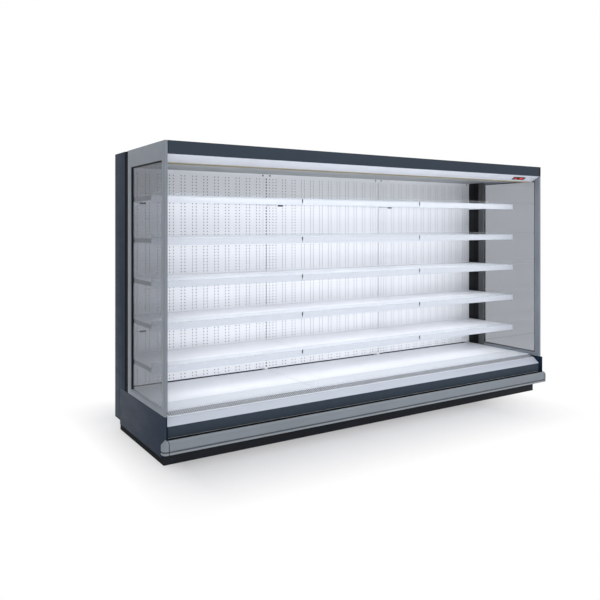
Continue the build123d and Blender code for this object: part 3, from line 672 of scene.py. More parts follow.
def lip_or_body(piece, made):
    """Paler below the groove, painted shade in it and painted shadow on the flat top at the back.
    """
    lip, groove, gap_shade = [piece.slot(m) for m in (BUMPER_LIP, GROOVE_SHADE, SHADE_AND_SEAL_BLACK)]
    for face in made:
        x, y, z = unplace(face.calc_center_median())
        if z < 120.3:
            face.material_index = lip
        elif z < 131.9:
            face.material_index = groove
        # painted shadow: the flat top below the band's foot is made near black
        elif z > 199.9 and y > -34 and 8 < x < LENGTH - 8:
            face.material_index = gap_shade


def seam_place(z):
    """Distance from the end wall's outer face at which the corner cap meets the bumper."""
    if z < 168:
        return 12.0
    lift = min(1.0, (z - 168) / 32)
    return 12.0 - 9.0 * (1 - sqrt(1 - lift * lift))


def cap_ring(t, angle, back):
    """The bumper outline at one place on its way round the corner."""
    return [(-out * sin(angle), EDGE - out * cos(angle) + back, z)
            for out, z in bumper_outline(15 + 14.5 * t, 16 + 11 * t, flat=t)]


bumper = Piece("bumper_rail")
straight = bumper_outline(14, back=-25.4)
ends = []
for inset, side in ((2.0, "left"), (3.2, "left"), (3.2, "right"), (2.0, "right")):
    ring = []
    for out, z in straight:
        x = seam_place(z) + inset
        shrink = 0.8 if inset < 3 and out > 10 else 0.0
        ring.append((across(side, x), EDGE - out + shrink, z))
    ends.append(ring)
made = bumper.loft(ends, BUMPER_GREY)
lip_or_body(bumper, made)
# Its two end faces are near black: painted shade in the seams at the corner caps.
for face in made[-2:]:
    face.material_index = bumper.slot(SHADE_AND_SEAL_BLACK)
bumper.finish("bumper")

front_line = bumper_outline(14)
for side in SIDES:
    cap = Piece(f"bumper_cap_{side}")
    rings = [[(seam_place(z) + tuck, EDGE - max(0.0, out - 4), z - 3.0 * (z > 190))
              for out, z in front_line] for tuck in (2.2, -1.8)]
    rings += [[(seam_place(z) - tuck, EDGE - out + shrink * (out > 10), z) for out, z in front_line]
              for tuck, shrink in ((2.0, 0.8), (3.2, 0.0))]
    rings.append([(min(0.0, seam_place(z) - 4.0), EDGE - out, z)
                  for out, z in bumper_outline(15, 16)])
    for k in range(1, 9):
        rings.append(cap_ring(min(1.0, k / 5), pi / 2 * k / 8, 0))
    rings.append(cap_ring(1.0, pi / 2, 12))
    rings.append([(x * 0.88, y, 105.5 + (z - 105.5) * 0.985)
                  for x, y, z in cap_ring(1.0, pi / 2, 15)])
    rings = [[(across(side, x), y, z) for x, y, z in ring] for ring in rings]
    made = cap.loft(rings, BUMPER_GREY)
    lip_or_body(cap, made)
    count = len(front_line)
    # The rings tucked into the seam and their cap are near black: painted shade in the seam.
    for face in made[:2 * count] + made[-2:-1]:
        face.material_index = cap.slot(SHADE_AND_SEAL_BLACK)
    cap.finish("bumper_end_caps")


# ---------------------------------------------------------------- canopy
FASCIA_FOOT = 2070
HUNG = CEILING_TOP - 0.5              # top of what hangs under the canopy
PANEL_RUN, PANEL_DROP = 84.0, 47.0    # slope of the inclined panel
PANEL_LENGTH = hypot(PANEL_RUN, PANEL_DROP)

fascia = Piece("fascia")
fascia.along_x(fillet([(0, FASCIA_FOOT), (3, FASCIA_FOOT), (3, 2157.5), (26, 2157.5),
                       (26, HEIGHT), (0, HEIGHT)], [1.6, 0, 0, 0, 0, 2.2], 3),
               LEFT + 4, RIGHT - 4, PAINT)
for x0, x1 in ((LEFT + 0.2, LEFT + 4), (RIGHT - 4, RIGHT - 0.2)):
    fascia.box(x0, x1, 0.6, 24, FASCIA_FOOT, 2159, RUBBER_AND_SHADE)
fascia.finish("canopy_fascia")
# A black sheet over the right end frame's front beside the fascia: painted shade at that end.
end_shade = Piece("fascia_end_cover")
end_shade.along_y(rounded_rectangle(RIGHT + 0.6, LENGTH - 1, FASCIA_FOOT + 1, 2158.5, 1.5, 2),
              -0.8, 0.3, RUBBER_AND_SHADE)
end_shade.finish()


def on_panel(x, s, h):
    """A point on the inclined panel: s along it from the fascia, h out of its visible face."""
    return (x, 3 + PANEL_RUN * s / PANEL_LENGTH - PANEL_DROP * h / PANEL_LENGTH,
            FASCIA_FOOT - PANEL_DROP * s / PANEL_LENGTH - PANEL_RUN * h / PANEL_LENGTH)


light_panel = Piece("inclined_panel")
hem = [(PANEL_LENGTH + s, h) for s, h in
       ((-0.6, 0.0), (0.4, -0.8), (0.4, -12), (-1.2, -12), (-1.2, -2.6))]
section = [(0.0, 0.0)] + hem + [(0.0, -2.6)]
for ends in bays(0.15):
    light_panel.loft([[on_panel(x, s, h) for s, h in section] for x in ends], HEAD_PALE)
light_panel.finish("canopy_light_panel")

display = Piece("temperature_display")
x0, x1 = RIGHT - 320.0, RIGHT - 160.0
frame_line = rounded_rectangle(x0, x1, 30, 70, 7, 4)
window = rounded_rectangle(x0 + 4, x1 - 4, 34, 66, 4, 4)
shoulder = rounded_rectangle(x0 + 1, x1 - 1, 31, 69, 6.5, 4)
rings = [[on_panel(u, v, h) for u, v in outline] for outline, h in
         ((frame_line, 0), (frame_line, 2.8), (shoulder, 4.0), (window, 4.0), (window, 3.0))]
display.loft(rings, GLOSS_BLACK)


def digit(x, wide, segments):
    """Seven-segment figure on the display window."""
    s, high, bar = 38.5, 23, 3.6
    half = high / 2
    bars = {"a": (0, 0, wide, bar), "g": (0, half - bar / 2, wide, half + bar / 2),
            "d": (0, high - bar, wide, high), "f": (0, 0, bar, half),
            "b": (wide - bar, 0, wide, half), "e": (0, half, bar, high),
            "c": (wide - bar, half, wide, high)}
    for key in segments:
        u0, v0, u1, v1 = bars[key]
        outline = rounded_rectangle(x + u0 + 0.2, x + u1 - 0.2, s + v0 + 0.2, s + v1 - 0.2, 0.8, 2)
        display.loft([[on_panel(u, v, h) for u, v in outline] for h in (3.0, 3.5)], RED_DIGITS)


for start, wide, segments in ((12, 13, "bc"), (34, 14, "abged"), (96, 14, "acdefg"),
                              (120, 14, "abcdef")):
    digit(x0 + start, wide, segments)
for u, v in ((x0 + 54, 58), (x0 + 140, 40)):
    display.loft([[on_panel(a, b, h) for a, b in rounded_rectangle(u, u + 3, v, v + 3, 1.2, 3)]
                  for h in (3.0, 3.5)], RED_DIGITS)
display.finish("temperature_display")

honeycomb = Piece("air_outlet")
for x0, x1 in bays(0.3):
    honeycomb.ring([(x0, 87.5), (x1, 87.5), (x1, 179.5), (x0, 179.5)],
                   [(x0 + 5, 92), (x1 - 5, 92), (x1 - 5, 175), (x0 + 5, 175)], "z", 2020, HUNG,
                   BEIGE)
    size = 7.0
    step_x, step_y = size * 1.5, size * sqrt(3)
    columns = int((x1 - x0 - 10) / step_x)
    rows = int(83 / step_y)
    points, polygons = [], []
    for i in range(columns + 1):
        for j in range(rows + 1):
            cx = x0 + 6 + i * step_x
            cy = 93.5 + j * step_y + (step_y / 2 if i % 2 else 0)
            for a in (0, 1, 2):
                p, q = [(cx + size * cos(turn), cy + size * sin(turn))
                        for turn in (pi / 3 * a, pi / 3 * (a + 1))]
                if min(p[0], q[0]) < x0 + 5 or max(p[0], q[0]) > x1 - 5 or max(p[1], q[1]) > 175.5:
                    continue
                n = len(points)
                points += [(*p, 2022), (*q, 2022), (*q, 2046), (*p, 2046)]
                polygons.append((n, n + 1, n + 2, n + 3))
    honeycomb.faces(points, polygons, BEIGE)
honeycomb.finish("air_outlet_honeycomb")

lamp = Piece("lamp_profiles")
for x0, x1 in bays(1):
    lamp.along_x([(181, HUNG), (181, 2031), (184, 2029), (184, 2045), (226, 2045), (226, 2029),
                  (229, 2031), (229, HUNG)], x0, x1, WHITE)
    arc = [(205 + 21 * cos(a), 2031 - 5 * sin(a)) for a in
           [pi * k / 10 for k in range(11)]]
    lamp.along_x(arc + [(184, 2036), (226, 2036)], x0 + 6, x1 - 6, LAMP)
    end_cap = fillet([(180.5, HUNG), (180.5, 2030), (186, 2026), (224, 2026), (229.5, 2030),
                      (229.5, HUNG)], [0, 3, 3, 3, 3, 0], 3)
    for a, b in ((x0, x0 + 6), (x1 - 6, x1)):
        lamp.along_x(end_cap, a, b, WHITE)
lamp.finish("canopy_lamp")

ceiling = Piece("ceiling")
section = fillet([(230.5, CEILING_TOP), (230.5, 2045), (895.5, 2045), (895.5, CEILING_TOP)],
                 [0, 1.5, 1.5, 0], 3)
for x0, x1 in bays(0.2):
    ceiling.along_x(section, x0, x1, CEILING)
ceiling.finish("ceiling_panel")


# ---------------------------------------------------------------- back of the display space
HOLE_PITCH = 25.0
HOLE_ROWS = [376.0 + HOLE_PITCH * k for k in range(66)]
PAIR_CENTRES = [82.0 + 98.73 * k for k in range(12)]
HOLE_PLACES = sorted([33.0, BAY - 33.0] + [c + d for c in PAIR_CENTRES for d in (-16.0, 16.0)])
HOLE_RADIUS = 4.5
HOLE_BACK = PANEL_FACE + 1.8
POST_HALF = 15.0                  # half the width that each upright covers
PANEL_FOOT = 356
CABLE_SLOT_PLACE, CABLE_SLOT_WIDE, CABLE_SLOT_HIGH = 142.0, 53.0, 13.0
CABLE_SLOT_ROWS = (1772.5, 772.5)

back = Piece("perforated_backs")
points, polygons = [], []


def back_quad(x0, x1, z0, z1):
    n = len(points)
    points.extend([(x, PANEL_FACE, z) for x, z in ((x0, z0), (x1, z0), (x1, z1), (x0, z1))])
    polygons.append((n, n + 1, n + 2, n + 3))


def back_hole(x0, x1, z0, z1, cx, cz):
    """One cell of the sheet with an eight-sided hole in it."""
    n = len(points)
    points.extend([(x, PANEL_FACE, z) for x, z in ((x0, z0), (x1, z0), (x1, z1), (x0, z1))])
    for y in (PANEL_FACE, HOLE_BACK):
        for q in range(8):
            a = pi * (q / 4 - 0.75)
            points.append((cx + HOLE_RADIUS * cos(a), y, cz + HOLE_RADIUS * sin(a)))
    for side in range(4):
        h = [n + 4 + (side * 2 + k) % 8 for k in range(3)]
        polygons.append((n + side, n + (side + 1) % 4, h[2], h[1], h[0]))
    for q in range(8):
        following = (q + 1) % 8
        polygons.append((n + 4 + q, n + 4 + following, n + 12 + following, n + 12 + q))


def round_the_slot(a, b, z0, z1, w0, w1, s0, s1):
    """The parts of a cell that a cable slot (w0 to w1, s0 to s1) leaves."""
    lo, hi = max(a, w0), min(b, w1)
    if hi <= lo:
        back_quad(a, b, z0, z1)
        return
    if a < lo:
        back_quad(a, lo, z0, z1)
    if b > hi:
        back_quad(hi, b, z0, z1)
    if s0 > z0:
        back_quad(lo, hi, z0, min(s0, z1))
    if s1 < z1:
        back_quad(lo, hi, max(s1, z0), z1)


for line in BAYS:
    x_low, x_high = line + POST_HALF, line + BAY - POST_HALF
    w0 = line + (CABLE_SLOT_PLACE - CABLE_SLOT_WIDE / 2)
    w1 = line + (CABLE_SLOT_PLACE + CABLE_SLOT_WIDE / 2)
    middles = [line + (a + b) / 2 for a, b in zip(HOLE_PLACES[:-1], HOLE_PLACES[1:])]
    for row in HOLE_ROWS:
        z0, z1 = row - HOLE_PITCH / 2, row + HOLE_PITCH / 2
        cut = [(z - CABLE_SLOT_HIGH / 2, z + CABLE_SLOT_HIGH / 2) for z in CABLE_SLOT_ROWS
               if z - CABLE_SLOT_HIGH / 2 < z1 and z + CABLE_SLOT_HIGH / 2 > z0]
        edges = [x_low] + middles + [x_high]
        if cut:
            edges = [w0 if w0 < e < w1 else e for e in edges]
        for a, b, u in zip(edges[:-1], edges[1:], HOLE_PLACES):
            if cut and w0 - 12 < line + u < w1 + 12:
                round_the_slot(a, b, z0, z1, w0, w1, *cut[0])
            else:
                back_hole(a, b, z0, z1, line + u, row)
    back_quad(x_low, x_high, HOLE_ROWS[-1] + HOLE_PITCH / 2, CEILING_TOP)
    back_quad(x_low, x_high, PANEL_FOOT, HOLE_ROWS[0] - HOLE_PITCH / 2)
back.faces(points, polygons, WHITE)
for line in BAYS:
    middle = line + CABLE_SLOT_PLACE
    for z in CABLE_SLOT_ROWS:
        outer, grommet = [rounded_rectangle(middle - u, middle + u, z - v, z + v, radius, 3)
                          for u, v, radius in ((CABLE_SLOT_WIDE / 2, CABLE_SLOT_HIGH / 2, 6.0),
                                               (24, 4.5, 4.4))]
        back.ring(outer, grommet, "y", PANEL_FACE - 0.8, PANEL_FACE + 2, RUBBER_AND_SHADE)
        # A black plate behind each grommet: painted shade in the slot's opening.
        back.along_y(outer, PANEL_FACE + 1.2, PANEL_FACE + 2, RUBBER_AND_SHADE)
    back.box(line + POST_HALF, line + BAY - POST_HALF, PANEL_FACE, 911, PANEL_FOOT, 358, WHITE, 0.5)
back.finish("back_panels", smooth=None)

dress("uprights", WHITE)
# Dark strips behind the uprights: painted shade seen through their slots.
slot_shade = Piece("upright_slot_shade")
for x0, x1 in ((LEFT + 3, LEFT + 12), *[(line - 12, line + 12) for line in BAYS[1:]],
               (RIGHT - 12, RIGHT - 3)):
    slot_shade.along_z([(x0, 909.0), (x1, 909.0), (x1, 911.0), (x0, 911.0)], 174, 2108, DUCT_SHADE)
slot_shade.finish()

screws = Piece("panel_screws")
SCREW_HEIGHT = 2033
for ends in bays(35):
    for x in ends:
        screws.disc((x, PANEL_FACE, SCREW_HEIGHT), (0, -1, 0), 7.5, 0.7, SHADE_AND_SEAL_BLACK, 20)
        screws.disc((x, PANEL_FACE - 0.4, SCREW_HEIGHT), (0, -1, 0), 5.0, 2.1, BLACK_STEEL, 20,
                    1.6)
        # A raised black cross on each head: painted shade for its recess.
        for w, h in ((2.6, 0.5), (0.5, 2.6)):
            screws.box(x - w, x + w, PANEL_FACE - 2.7, PANEL_FACE - 2.1, SCREW_HEIGHT - h,
                       SCREW_HEIGHT + h, RUBBER_AND_SHADE, 0.1)
screws.finish("panel_screws")


# ---------------------------------------------------------------- shelves
SHELF_SPAN = (1.5, BAY - 1.5)      # shelves and deck trays, from their bay's left line


def slot_rows(piece, x0, x1, count, half, top, depth, rows):
    """Rows (v0, v1, low, high) of count air slots in a flat sheet, each twice half long."""
    width = (x1 - x0) / count
    edges = [(x0 + i * width, x0 + (i + 1) * width) for i in range(count)]
    for v0, v1, low, high in rows:
        holes = [((a + b) / 2 - half, (a + b) / 2 + half, low, high) for a, b in edges]
        slotted(piece, lambda u, v, h: (u, v, top + h), edges, v0, v1, holes, depth, WHITE)


def shelf_meshes():
    """Meshes shared by all shelves, with the bay's left line at x 0 and the shelf's top at z 0."""
    x0, x1 = SHELF_SPAN
    pan = Piece("shelf_pan")
    slot_rows(pan, x0, x1, 24, 9, 0, 2, ((330, 350, 337, 343), (866, 884, 872, 878)))
    pan.loft([[(x0, v, 0), (x1, v, 0), (x1, v, -2), (x0, v, -2)] for v in (350, 866)], WHITE,
             caps=False)
    outside = [pi / 2 * k / 4 for k in range(5)]
    inside = [pi / 2 * k / 3 for k in (2, 1, 0)]
    bend = [(330, 0)] + [(321 - 3 * sin(a), -3 + 3 * cos(a)) for a in outside]
    bend += [(318, -24.5), (318.4, -25), (320, -25), (320, -4)]
    bend += [(321 - sin(a), -3 + cos(a)) for a in inside] + [(330, -2)]
    pan.along_x(bend, x0, x1, WHITE)
    rear = [(1208 - y, z) for y, z in bend]
    rear[0], rear[-1] = (884, 0), (884, -2)
    pan.along_x(rear, x0, x1, WHITE)

    hardware = Piece("shelf_brackets")
    plate = [(330, -2), (887.7, -2), (887.7, -25.3), (890.3, -25.3), (890.3, -2), (906, -2),
             (906, -8), (895.7, -8), (895.7, -27), (906, -27), (906, -33), (895.7, -33),
             (895.7, -36), (330, -30)]
    outline = fillet(plate, [0, 0, 0, 0, 0, 2, 2, 1, 1, 2, 2, 1, 2, 10], 3)
    for x in (3.5, 1243.5):
        hardware.along_x(outline, x, x + 3, WHITE)
        inner = x + 3 if x < 600 else x - 1.4
        hardware.along_x(rounded_rectangle(380, 840, -22, -14, 3.8, 3), inner, inner + 1.4, WHITE)
    guard = Piece("shelf_stopper")
    guard.along_x(fillet([(321, 0), (329, 0), (329, 1.4), (324, 1.6), (324, 30), (321, 30)],
                         [0.3, 0.5, 0.5, 1, 1.4, 1.4], 2), x0 + 0.5, x1 - 0.5, ACRYLIC)
    return [piece.mesh(35) for piece in (pan, hardware, guard)]


def rail_mesh(left_joint, right_joint):
    """Ticket rail with its paper strip. A dark end stop closes it where another rail follows."""
    x0, x1 = SHELF_SPAN
    rail = Piece("ticket_rail")
    body = [(318, -46), (318, 4), (313.4, 4), (312.2, 2.6), (312.2, -0.5), (313.6, -1.2),
            (313.8, 0.8), (315.6, 1.2), (315.6, -43.2), (313.8, -42.8), (313.6, -40.8),
            (312.2, -41.5), (312.2, -44.6), (313.4, -46)]
    stop = fillet([(318, -26), (318, 4), (312, 4), (312, -26)], [0, 0, 1.5, 1.5], 3)
    heel = fillet([(318, -46), (318, -26.2), (312.6, -26.2), (312.6, -46)], [0, 0, 1, 1.5], 3)
    a, b = x0 + 2.6 * left_joint, x1 - 2.6 * right_joint
    rail.along_x(body, a, b, RAIL)
    rail.along_x([(315.5, -42.8), (315.5, 0.8), (314.9, 0.8), (313.9, -10), (313.5, -21),
                  (313.9, -32), (314.9, -42.8)], a + 0.3, b - 0.3, PAPER)
    for joint, start, end in ((left_joint, x0, a), (right_joint, b, x1)):
        if joint:
            rail.along_x(stop, start, end, RUBBER_AND_SHADE)
            rail.along_x(heel, start, end, RAIL)
    return rail.mesh(35)


SHELF_MESHES = shelf_meshes()
RAIL_MESHES = [rail_mesh(0, 1), rail_mesh(1, 1), rail_mesh(1, 0)]
for bay, line in enumerate(BAYS, start=1):
    for row, top in enumerate(SHELF_TOPS, start=1):
        node_name = f"shelf_row{row}_bay{bay}"
        for data in SHELF_MESHES + [RAIL_MESHES[bay - 1]]:
            label = data.name.split(".")[0]
            show(f"{label}_{row}_{bay}", data, [node_name], node_name, offset=(line, 0, top))


# ---------------------------------------------------------------- deck
pan = Piece("deck_tray")
x0, x1 = SHELF_SPAN
y0, y1, top = 134.0, 893.0, 348.0
outer = rounded_rectangle(x0, x1, y0, y1, 3, 3)
inset = rounded_rectangle(x0 + 2, x1 - 2, y0 + 2, y1 - 2, 2, 3)
inner = rounded_rectangle(x0 + 3, x1 - 3, y0 + 3, y1 - 3, 1, 3)
rings = [[(u, v, z) for u, v in line] for line, z in
         ((inner, 345), (inner, 330), (outer, 330), (outer, 346), (inset, 348))]
pan.loft(rings, WHITE, caps=False)
slot_rows(pan, x0 + 2, x1 - 2, 20, 14, top, 3, ((150, 170, 156, 164), (858, 878, 864, 872)))
for v0, v1 in ((y0 + 2, 150), (170, 858), (878, y1 - 2)):
    for edge, z, order in ((2, top, (0, 1, 2, 3)), (3, 345, (3, 2, 1, 0))):
        a, b = x0 + edge, x1 - edge
        pan.faces([(a, v0, z), (b, v0, z), (b, v1, z), (a, v1, z)], [order], WHITE)
TRAY = pan.mesh(35)
for bay, line in enumerate(BAYS, start=1):
    node_name = f"deck_pan_bay{bay}"
    show(f"deck_tray_{bay}", TRAY, [node_name], node_name, offset=(line, 0, 0))

guard = Piece("deck_upstand")
for x0, x1 in bays(1.5):
    guard.along_x(fillet([(129, 349), (132, 350.2), (132, 406), (129, 406)], [0, 0, 1.4, 1.4], 2),
                  x0, x1, ACRYLIC)
guard.finish("deck_stopper")
dress("deck_supports", ZINC, 1.0)


# ---------------------------------------------------------------- base
plinth = Piece("kick_plinth")
for line in BAYS:
    for front, back_y, turn in ((74.0, 76.0, 12), (1010.0, 1008.0, -12)):
        section = [(front, 2), (front, 111.5), (front + turn, 111.5), (front + turn, 109.5),
                   (back_y, 109.5), (back_y, 4), (front + turn, 4), (front + turn, 2)]
        plinth.along_x(section, line + 0.4, line + BAY - 0.4, PLINTH)
    for x in (line + 60, line + BAY - 60):
        for z in (28, 92):
            for y, out in ((74, -1), (1010, 1)):
                plinth.disc((x, y, z), (0, out, 0), 5, 1.6, BLACK_STEEL, 16, 1.2)
# painted shade: the darker copy of the plinth black on both end panels
for x0, x1 in ((LEFT, LEFT + 2), (RIGHT - 2, RIGHT)):
    plinth.along_x(rounded_rectangle(76, 1008, 2, 112, 1, 2), x0, x1, PLINTH_END_SHADE)
plinth.finish("plinth_panels")

feet = Piece("levelling_feet")
profile = [(24, 0), (24, 3.5), (21, 6.5), (13, 8), (10, 12), (8, 12.2)]
for k in range(17):
    profile += [(8, 12.2 + 2 * k), (7.2, 13.2 + 2 * k)]
profile += [(8, 47), (8, 62)]
for x in (LEFT + 27, *BAYS[1:], RIGHT - 27):
    for y in (101.0, 983.0):
        feet.loft([[(*p, h) for p in round_line(x, y, r, 20)] for r, h in profile], STEEL)
        feet.along_z(round_line(x, y, 13, 6), 50, 59, STEEL)
        feet.disc((x, y, 59), (0, 0, 1), 17, 2.5, STEEL, 24)
feet.finish("levelling_feet")
dress("base_frame", ZINC, 1.5)
dress("insulated_tub", SHELL, 1.5)


# ---------------------------------------------------------------- shell
def pressed(x0, x1, v0, v1, levels):
    """Outlines (u, v, level) of a sheet's shallow pressing, from the rim inwards."""
    return [[(u, v, level) for u, v in rounded_rectangle(
        x0 + inset, x1 - inset, v0 + inset, v1 - inset, 1 + inset * 0.2, 3)]
        for inset, level in levels]


BACK_FOOT, BACK_HEAD, BACK_FRONT = 112.4, 2109.6, 1020
shell = Piece("back_cassettes")
for x0, x1 in bays(0.6):
    shell.along_y(rounded_rectangle(x0, x1, BACK_FOOT, BACK_HEAD, 1, 1), BACK_FRONT, 1077, SHELL)
    # The face towards the air duct is near black: painted shade inside the duct.
    shell.recolour(lambda x, y, z: abs(y - BACK_FRONT) < 0.1, DUCT_SHADE)
    rings = pressed(x0, x1, BACK_FOOT, BACK_HEAD,
                    ((0, 1077), (1.2, 1078.4), (34, 1078.4), (40, 1077.2)))
    shell.loft([[(u, level, v) for u, v, level in ring] for ring in rings], SHELL)
for x in [line + d for line in BAYS for d in (14, BAY - 14)]:
    for k in range(9):
        shell.disc((x, 1078.3, 180 + k * 230), (0, 1, 0), 4.5, 1.6, STEEL, 12, 1.0)
shell.finish("back_wall", smooth=25)

roof = Piece("roof_cassettes")
for x0, x1 in bays(0.6):
    roof.along_z(rounded_rectangle(x0, x1, 27, 1079.5, 1, 1), 2110.4, 2156, SHELL)
    roof.loft(pressed(x0, x1, 27, 1079.5, ((0, 2156), (1.2, 2159.5), (30, 2159.5), (36, 2156.8))),
              SHELL)
roof.box(LEFT, RIGHT, 3.5, 27, 2110.4, 2157, SHELL)
roof.finish("roof_panel", smooth=25)
dress("canopy_brackets", ZINC)


# ---------------------------------------------------------------- cooling
dress("fan_plate", ZINC)


def fan_frame(line):
    """Matrix from fan space (z along the air flow, mm) to the row frame."""
    flow = Vector((0, sqrt(0.5), -sqrt(0.5)))
    side = Vector((1, 0, 0))
    up = flow.cross(side)
    turn = Matrix((side, up, flow)).transposed().to_4x4()
    return Matrix.Translation(place(line + BAY / 2, 291.5, 247)) @ turn @ Matrix.Scale(MM, 4)


def add_local(piece, rings, material, matrix, caps=True):
    """Loft rings that are written in fan space."""
    piece.loft([[unplace(matrix @ Vector(p)) for p in ring] for ring in rings], material, caps=caps)


def circle(radius, z, sides=32):
    return [(*p, z) for p in round_line(0, 0, radius, sides)]


for bay, line in enumerate(BAYS, start=1):
    matrix = fan_frame(line)
    rotor = Piece(f"rotor_{bay}")
    hub = ((4.05, -13), (26, -13), (30, -10), (30, 9), (24, 13), (9, 13), (7, 10), (4.05, 10),
           (4.05, -13))
    add_local(rotor, [circle(r, z) for r, z in hub], FAN, matrix, caps=False)
    for blade in range(5):
        rings = []
        for k in range(7):
            r = 28 + 49.5 * k / 6
            pitch = radians(48 - 24 * k / 6)
            chord = 30 + 16 * sin(pi * 0.5 * k / 6)
            sweep_back = 0.16 * k / 6
            ring = []
            for f, thick in ((-0.5, 0.3), (-0.25, 1.3), (0.1, 1.5), (0.5, 0.3), (0.1, -0.6),
                             (-0.25, -0.6)):
                along = f * chord
                a = 2 * pi * blade / 5 + sweep_back + along * cos(pitch) / r
                lift = along * sin(pitch) * 0.62 + thick + 1.2 * (0.25 - f * f) * 4
                ring.append((r * cos(a), r * sin(a), max(-12.8, min(12.8, lift))))
            rings.append(ring)
        add_local(rotor, rings, FAN, matrix)
    rotor.finish(f"fan_rotor_bay{bay}", body=f"fan_rotor_bay{bay}")

    motor = Piece(f"fan_motor_{bay}")
    ribs = [circle(10, -60), circle(31, -60), circle(34, -57)]
    for z in range(-54, -24, 6):
        ribs += [circle(34, z), circle(32, z + 1), circle(32, z + 3), circle(34, z + 4)]
    ribs += [circle(34, -20), circle(31, -16), circle(12, -16), circle(10, -14)]
    add_local(motor, ribs, MOTOR, matrix)
    add_local(motor, [circle(4, -16, 20), circle(4, 12, 20), circle(3, 13, 20)], STEEL, matrix)
    for arm in range(4):
        a = pi / 2 * (arm + 0.5)
        turn = matrix @ Matrix.Rotation(a, 4, "Z")
        bar = rounded_rectangle(-3, 3, -22, -16, 2, 3)
        add_local(motor, [[(r, u, v) for u, v in bar] for r in (30, 85, 91)], MOTOR, turn)
        foot = rounded_rectangle(85, 91, -3, 3, 2, 3)
        add_local(motor, [[(u, v, h) for u, v in foot] for h in (-21.9, -1.1)], MOTOR, turn)
    motor.finish("fan_motors")

COIL_FRONT, COIL_BACK, COIL_TOP = 480, 800, 304
coil = Piece("finned_coil")
fin = [(COIL_FRONT, 184), (COIL_BACK, 184), (COIL_BACK, COIL_TOP), (COIL_FRONT, COIL_TOP)]
for x in range(176, 3614, 8):
    coil.along_x(fin, x, x + 0.5, ALUMINIUM)
for x0, x1 in ((166, 170), (3620, 3624)):
    coil.along_x(rounded_rectangle(COIL_FRONT, COIL_BACK, 172, COIL_TOP, 2, 2), x0, x1, ZINC)
for index in range(4):
    y = COIL_FRONT + (COIL_BACK - COIL_FRONT) * (index + 0.5) / 4
    for z in (220.0, 274.0):
        for dy in (-22, 22):
            coil.along_x(round_line(y + dy, z, 6, 12), 164, 3626, COPPER)
        rings = []
        for k in range(9):
            a = pi * k / 8
            cx, cy = 164 - 22 * sin(a), y - 22 * cos(a)
            ux, uy = -sin(a), -cos(a)
            rings.append([(cx + u * ux, cy + u * uy, z + v) for u, v in round_line(0, 0, 6, 12)])
        coil.loft(rings, COPPER)
coil.finish("evaporator")
dress("refrigerant_lines", COPPER)
dress("drain_pipe", DRAIN, 0.8)

electric = Piece("terminal_box")
electric.along_z(rounded_rectangle(2970, 3270, 240, 420, 6, 3), 66, 106, BOX)
electric.along_z(rounded_rectangle(2968, 3272, 238, 420, 6, 3), 103, 112, BOX)
for x in (2982, 3258):
    for y in (252, 408):
        electric.disc((x, y, 66.4), (0, 0, -1), 5, 2.0, STEEL, 16, 1.2)
for radius, y0, y1, sides in ((15, 420, 426, 6), (13, 426, 434, 24), (14, 434, 441, 6),
                              (10, 441, 444, 24)):
    electric.along_y(round_line(3120, 89, radius, sides), y0, y1, RUBBER_AND_SHADE if sides == 24 else BOX)
electric.finish("electrical_box")


# ---------------------------------------------------------------- floor, world, lamps
FLOOR_REACH = 30.0
FLOOR_MIDDLE_Y, FLOOR_HALF_Y = 0.0625, 0.5025   # the footprint, in metres

floor_data = bpy.data.meshes.new("floor")
floor_data.from_pydata([(x * FLOOR_REACH, y * FLOOR_REACH, 0) for x, y in
                        ((-1, -1), (1, -1), (1, 1), (-1, 1))], [], [(0, 1, 2, 3)])
floor = bpy.data.objects.new("floor", floor_data)
bpy.context.collection.objects.link(floor)
floor_material, tree = fresh("floor", principled=False)


def ramp(a, b, slope):
    """(a - b) * slope, held between 0 and 1."""
    return number(tree, "MULTIPLY", number(tree, "SUBTRACT", a, b), slope, clamp=True)


def rest_of(value):
    """What value leaves of 1."""
    return number(tree, "SUBTRACT", 1.0, value)


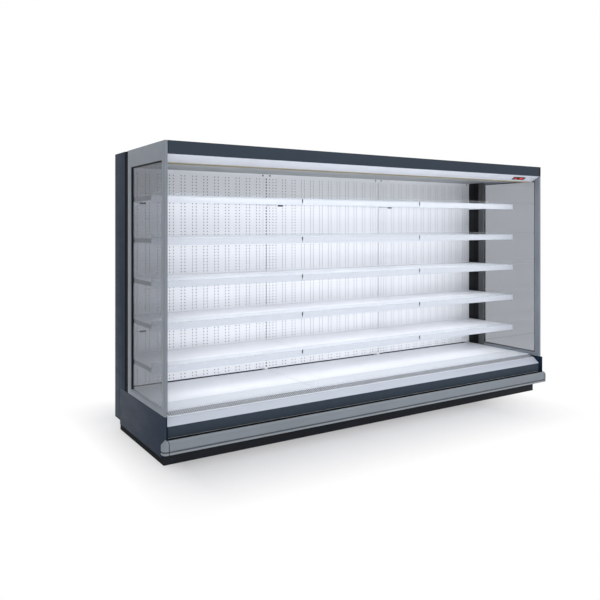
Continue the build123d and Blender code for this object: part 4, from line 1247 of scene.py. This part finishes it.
# Near the cabinet the floor takes its shadow. It fades to plain white from 1.05 m right of the
# middle, 1.75 m left of it and 0.25 m before and behind the footprint.
along = node(tree, "SeparateXYZ", node(tree, "TexCoord", take="Object"), take="X")
deep = number(tree, "ADD", along.node.outputs["Y"], -FLOOR_MIDDLE_Y)
ahead = number(tree, "SUBTRACT", number(tree, "ABSOLUTE", deep), FLOOR_HALF_Y)
off_side = number(tree, "MAXIMUM", ramp(-1.75, along, 2.4), ramp(along, 1.05, 1.5))
kept = number(tree, "MULTIPLY", rest_of(ramp(ahead, 0.25, 1.667)), rest_of(off_side))
near = node(tree, "AddShader", node(tree, "BsdfDiffuse", Color=(0.41, 0.41, 0.42)),
            node(tree, "Emission", Color=(1, 1, 1), Strength=0.35))
both = node(tree, "MixShader", rest_of(kept), near, node(tree, "Emission", Strength=1.0))
matt = node(tree, "BsdfDiffuse", Color=(0.78, 0.78, 0.80))
feed(tree, tree.nodes["Material Output"].inputs["Surface"],
     node(tree, "MixShader", seen_plainly(tree), matt, both))
floor_data.materials.append(floor_material)

world = bpy.data.worlds.new("world")
bpy.context.scene.world = world
world.use_nodes = True
tree = world.node_tree
tree.nodes.clear()
soft = node(tree, "Background", Color=(0.96, 0.98, 1.0), Strength=0.80)
white = node(tree, "Background", Color=(1, 1, 1), Strength=1.0)
feed(tree, tree.nodes.new("ShaderNodeOutputWorld").inputs["Surface"],
     node(tree, "MixShader", seen_plainly(tree), soft, white))


def softbox(name, location, target, size, energy, colour=(1, 1, 1)):
    data = bpy.data.lights.new(name, "AREA")
    data.shape = "RECTANGLE"
    data.size, data.size_y = size
    data.energy = energy
    data.color = colour
    item = bpy.data.objects.new(name, data)
    item.location = location
    item.rotation_euler = (Vector(target) - Vector(location)).to_track_quat("-Z", "Y").to_euler()
    item.visible_camera = False
    item.visible_glossy = False
    bpy.context.collection.objects.link(item)


softbox("key", (-3.5, -5.0, 5.0), (0.0, 0.0, 1.0), (4.0, 3.0), 60.0, (1.0, 0.99, 0.98))
softbox("fill", (4.5, -5.5, 3.5), (0.3, 0.0, 1.0), (4.0, 3.0), 40.0, (0.97, 0.98, 1.0))
softbox("rear", (0.0, 5.0, 4.5), (0.0, 0.0, 1.0), (5.0, 3.0), 60.0)
softbox("low", (0.0, -4.5, 0.3), (0.0, -0.5, 2.0), (5.0, 0.5), 45.0)
STRIP, STRIP_COLOUR = (3.6, 0.04), (0.99, 0.985, 1.0)
for row, top in enumerate(SHELF_TOPS):
    here = place(CENTRE_X, 330, top - 30)
    softbox(f"shelf_light_{row}", here, here + Vector((0, 0.35, -0.04)), STRIP, 4.1, STRIP_COLOUR)
here = place(CENTRE_X, 240, 2035)
softbox("canopy_light", here, here + Vector((0, 0.4, -0.16)), STRIP, 4.6, STRIP_COLOUR)

bpy.context.scene.view_settings.view_transform = "Standard"
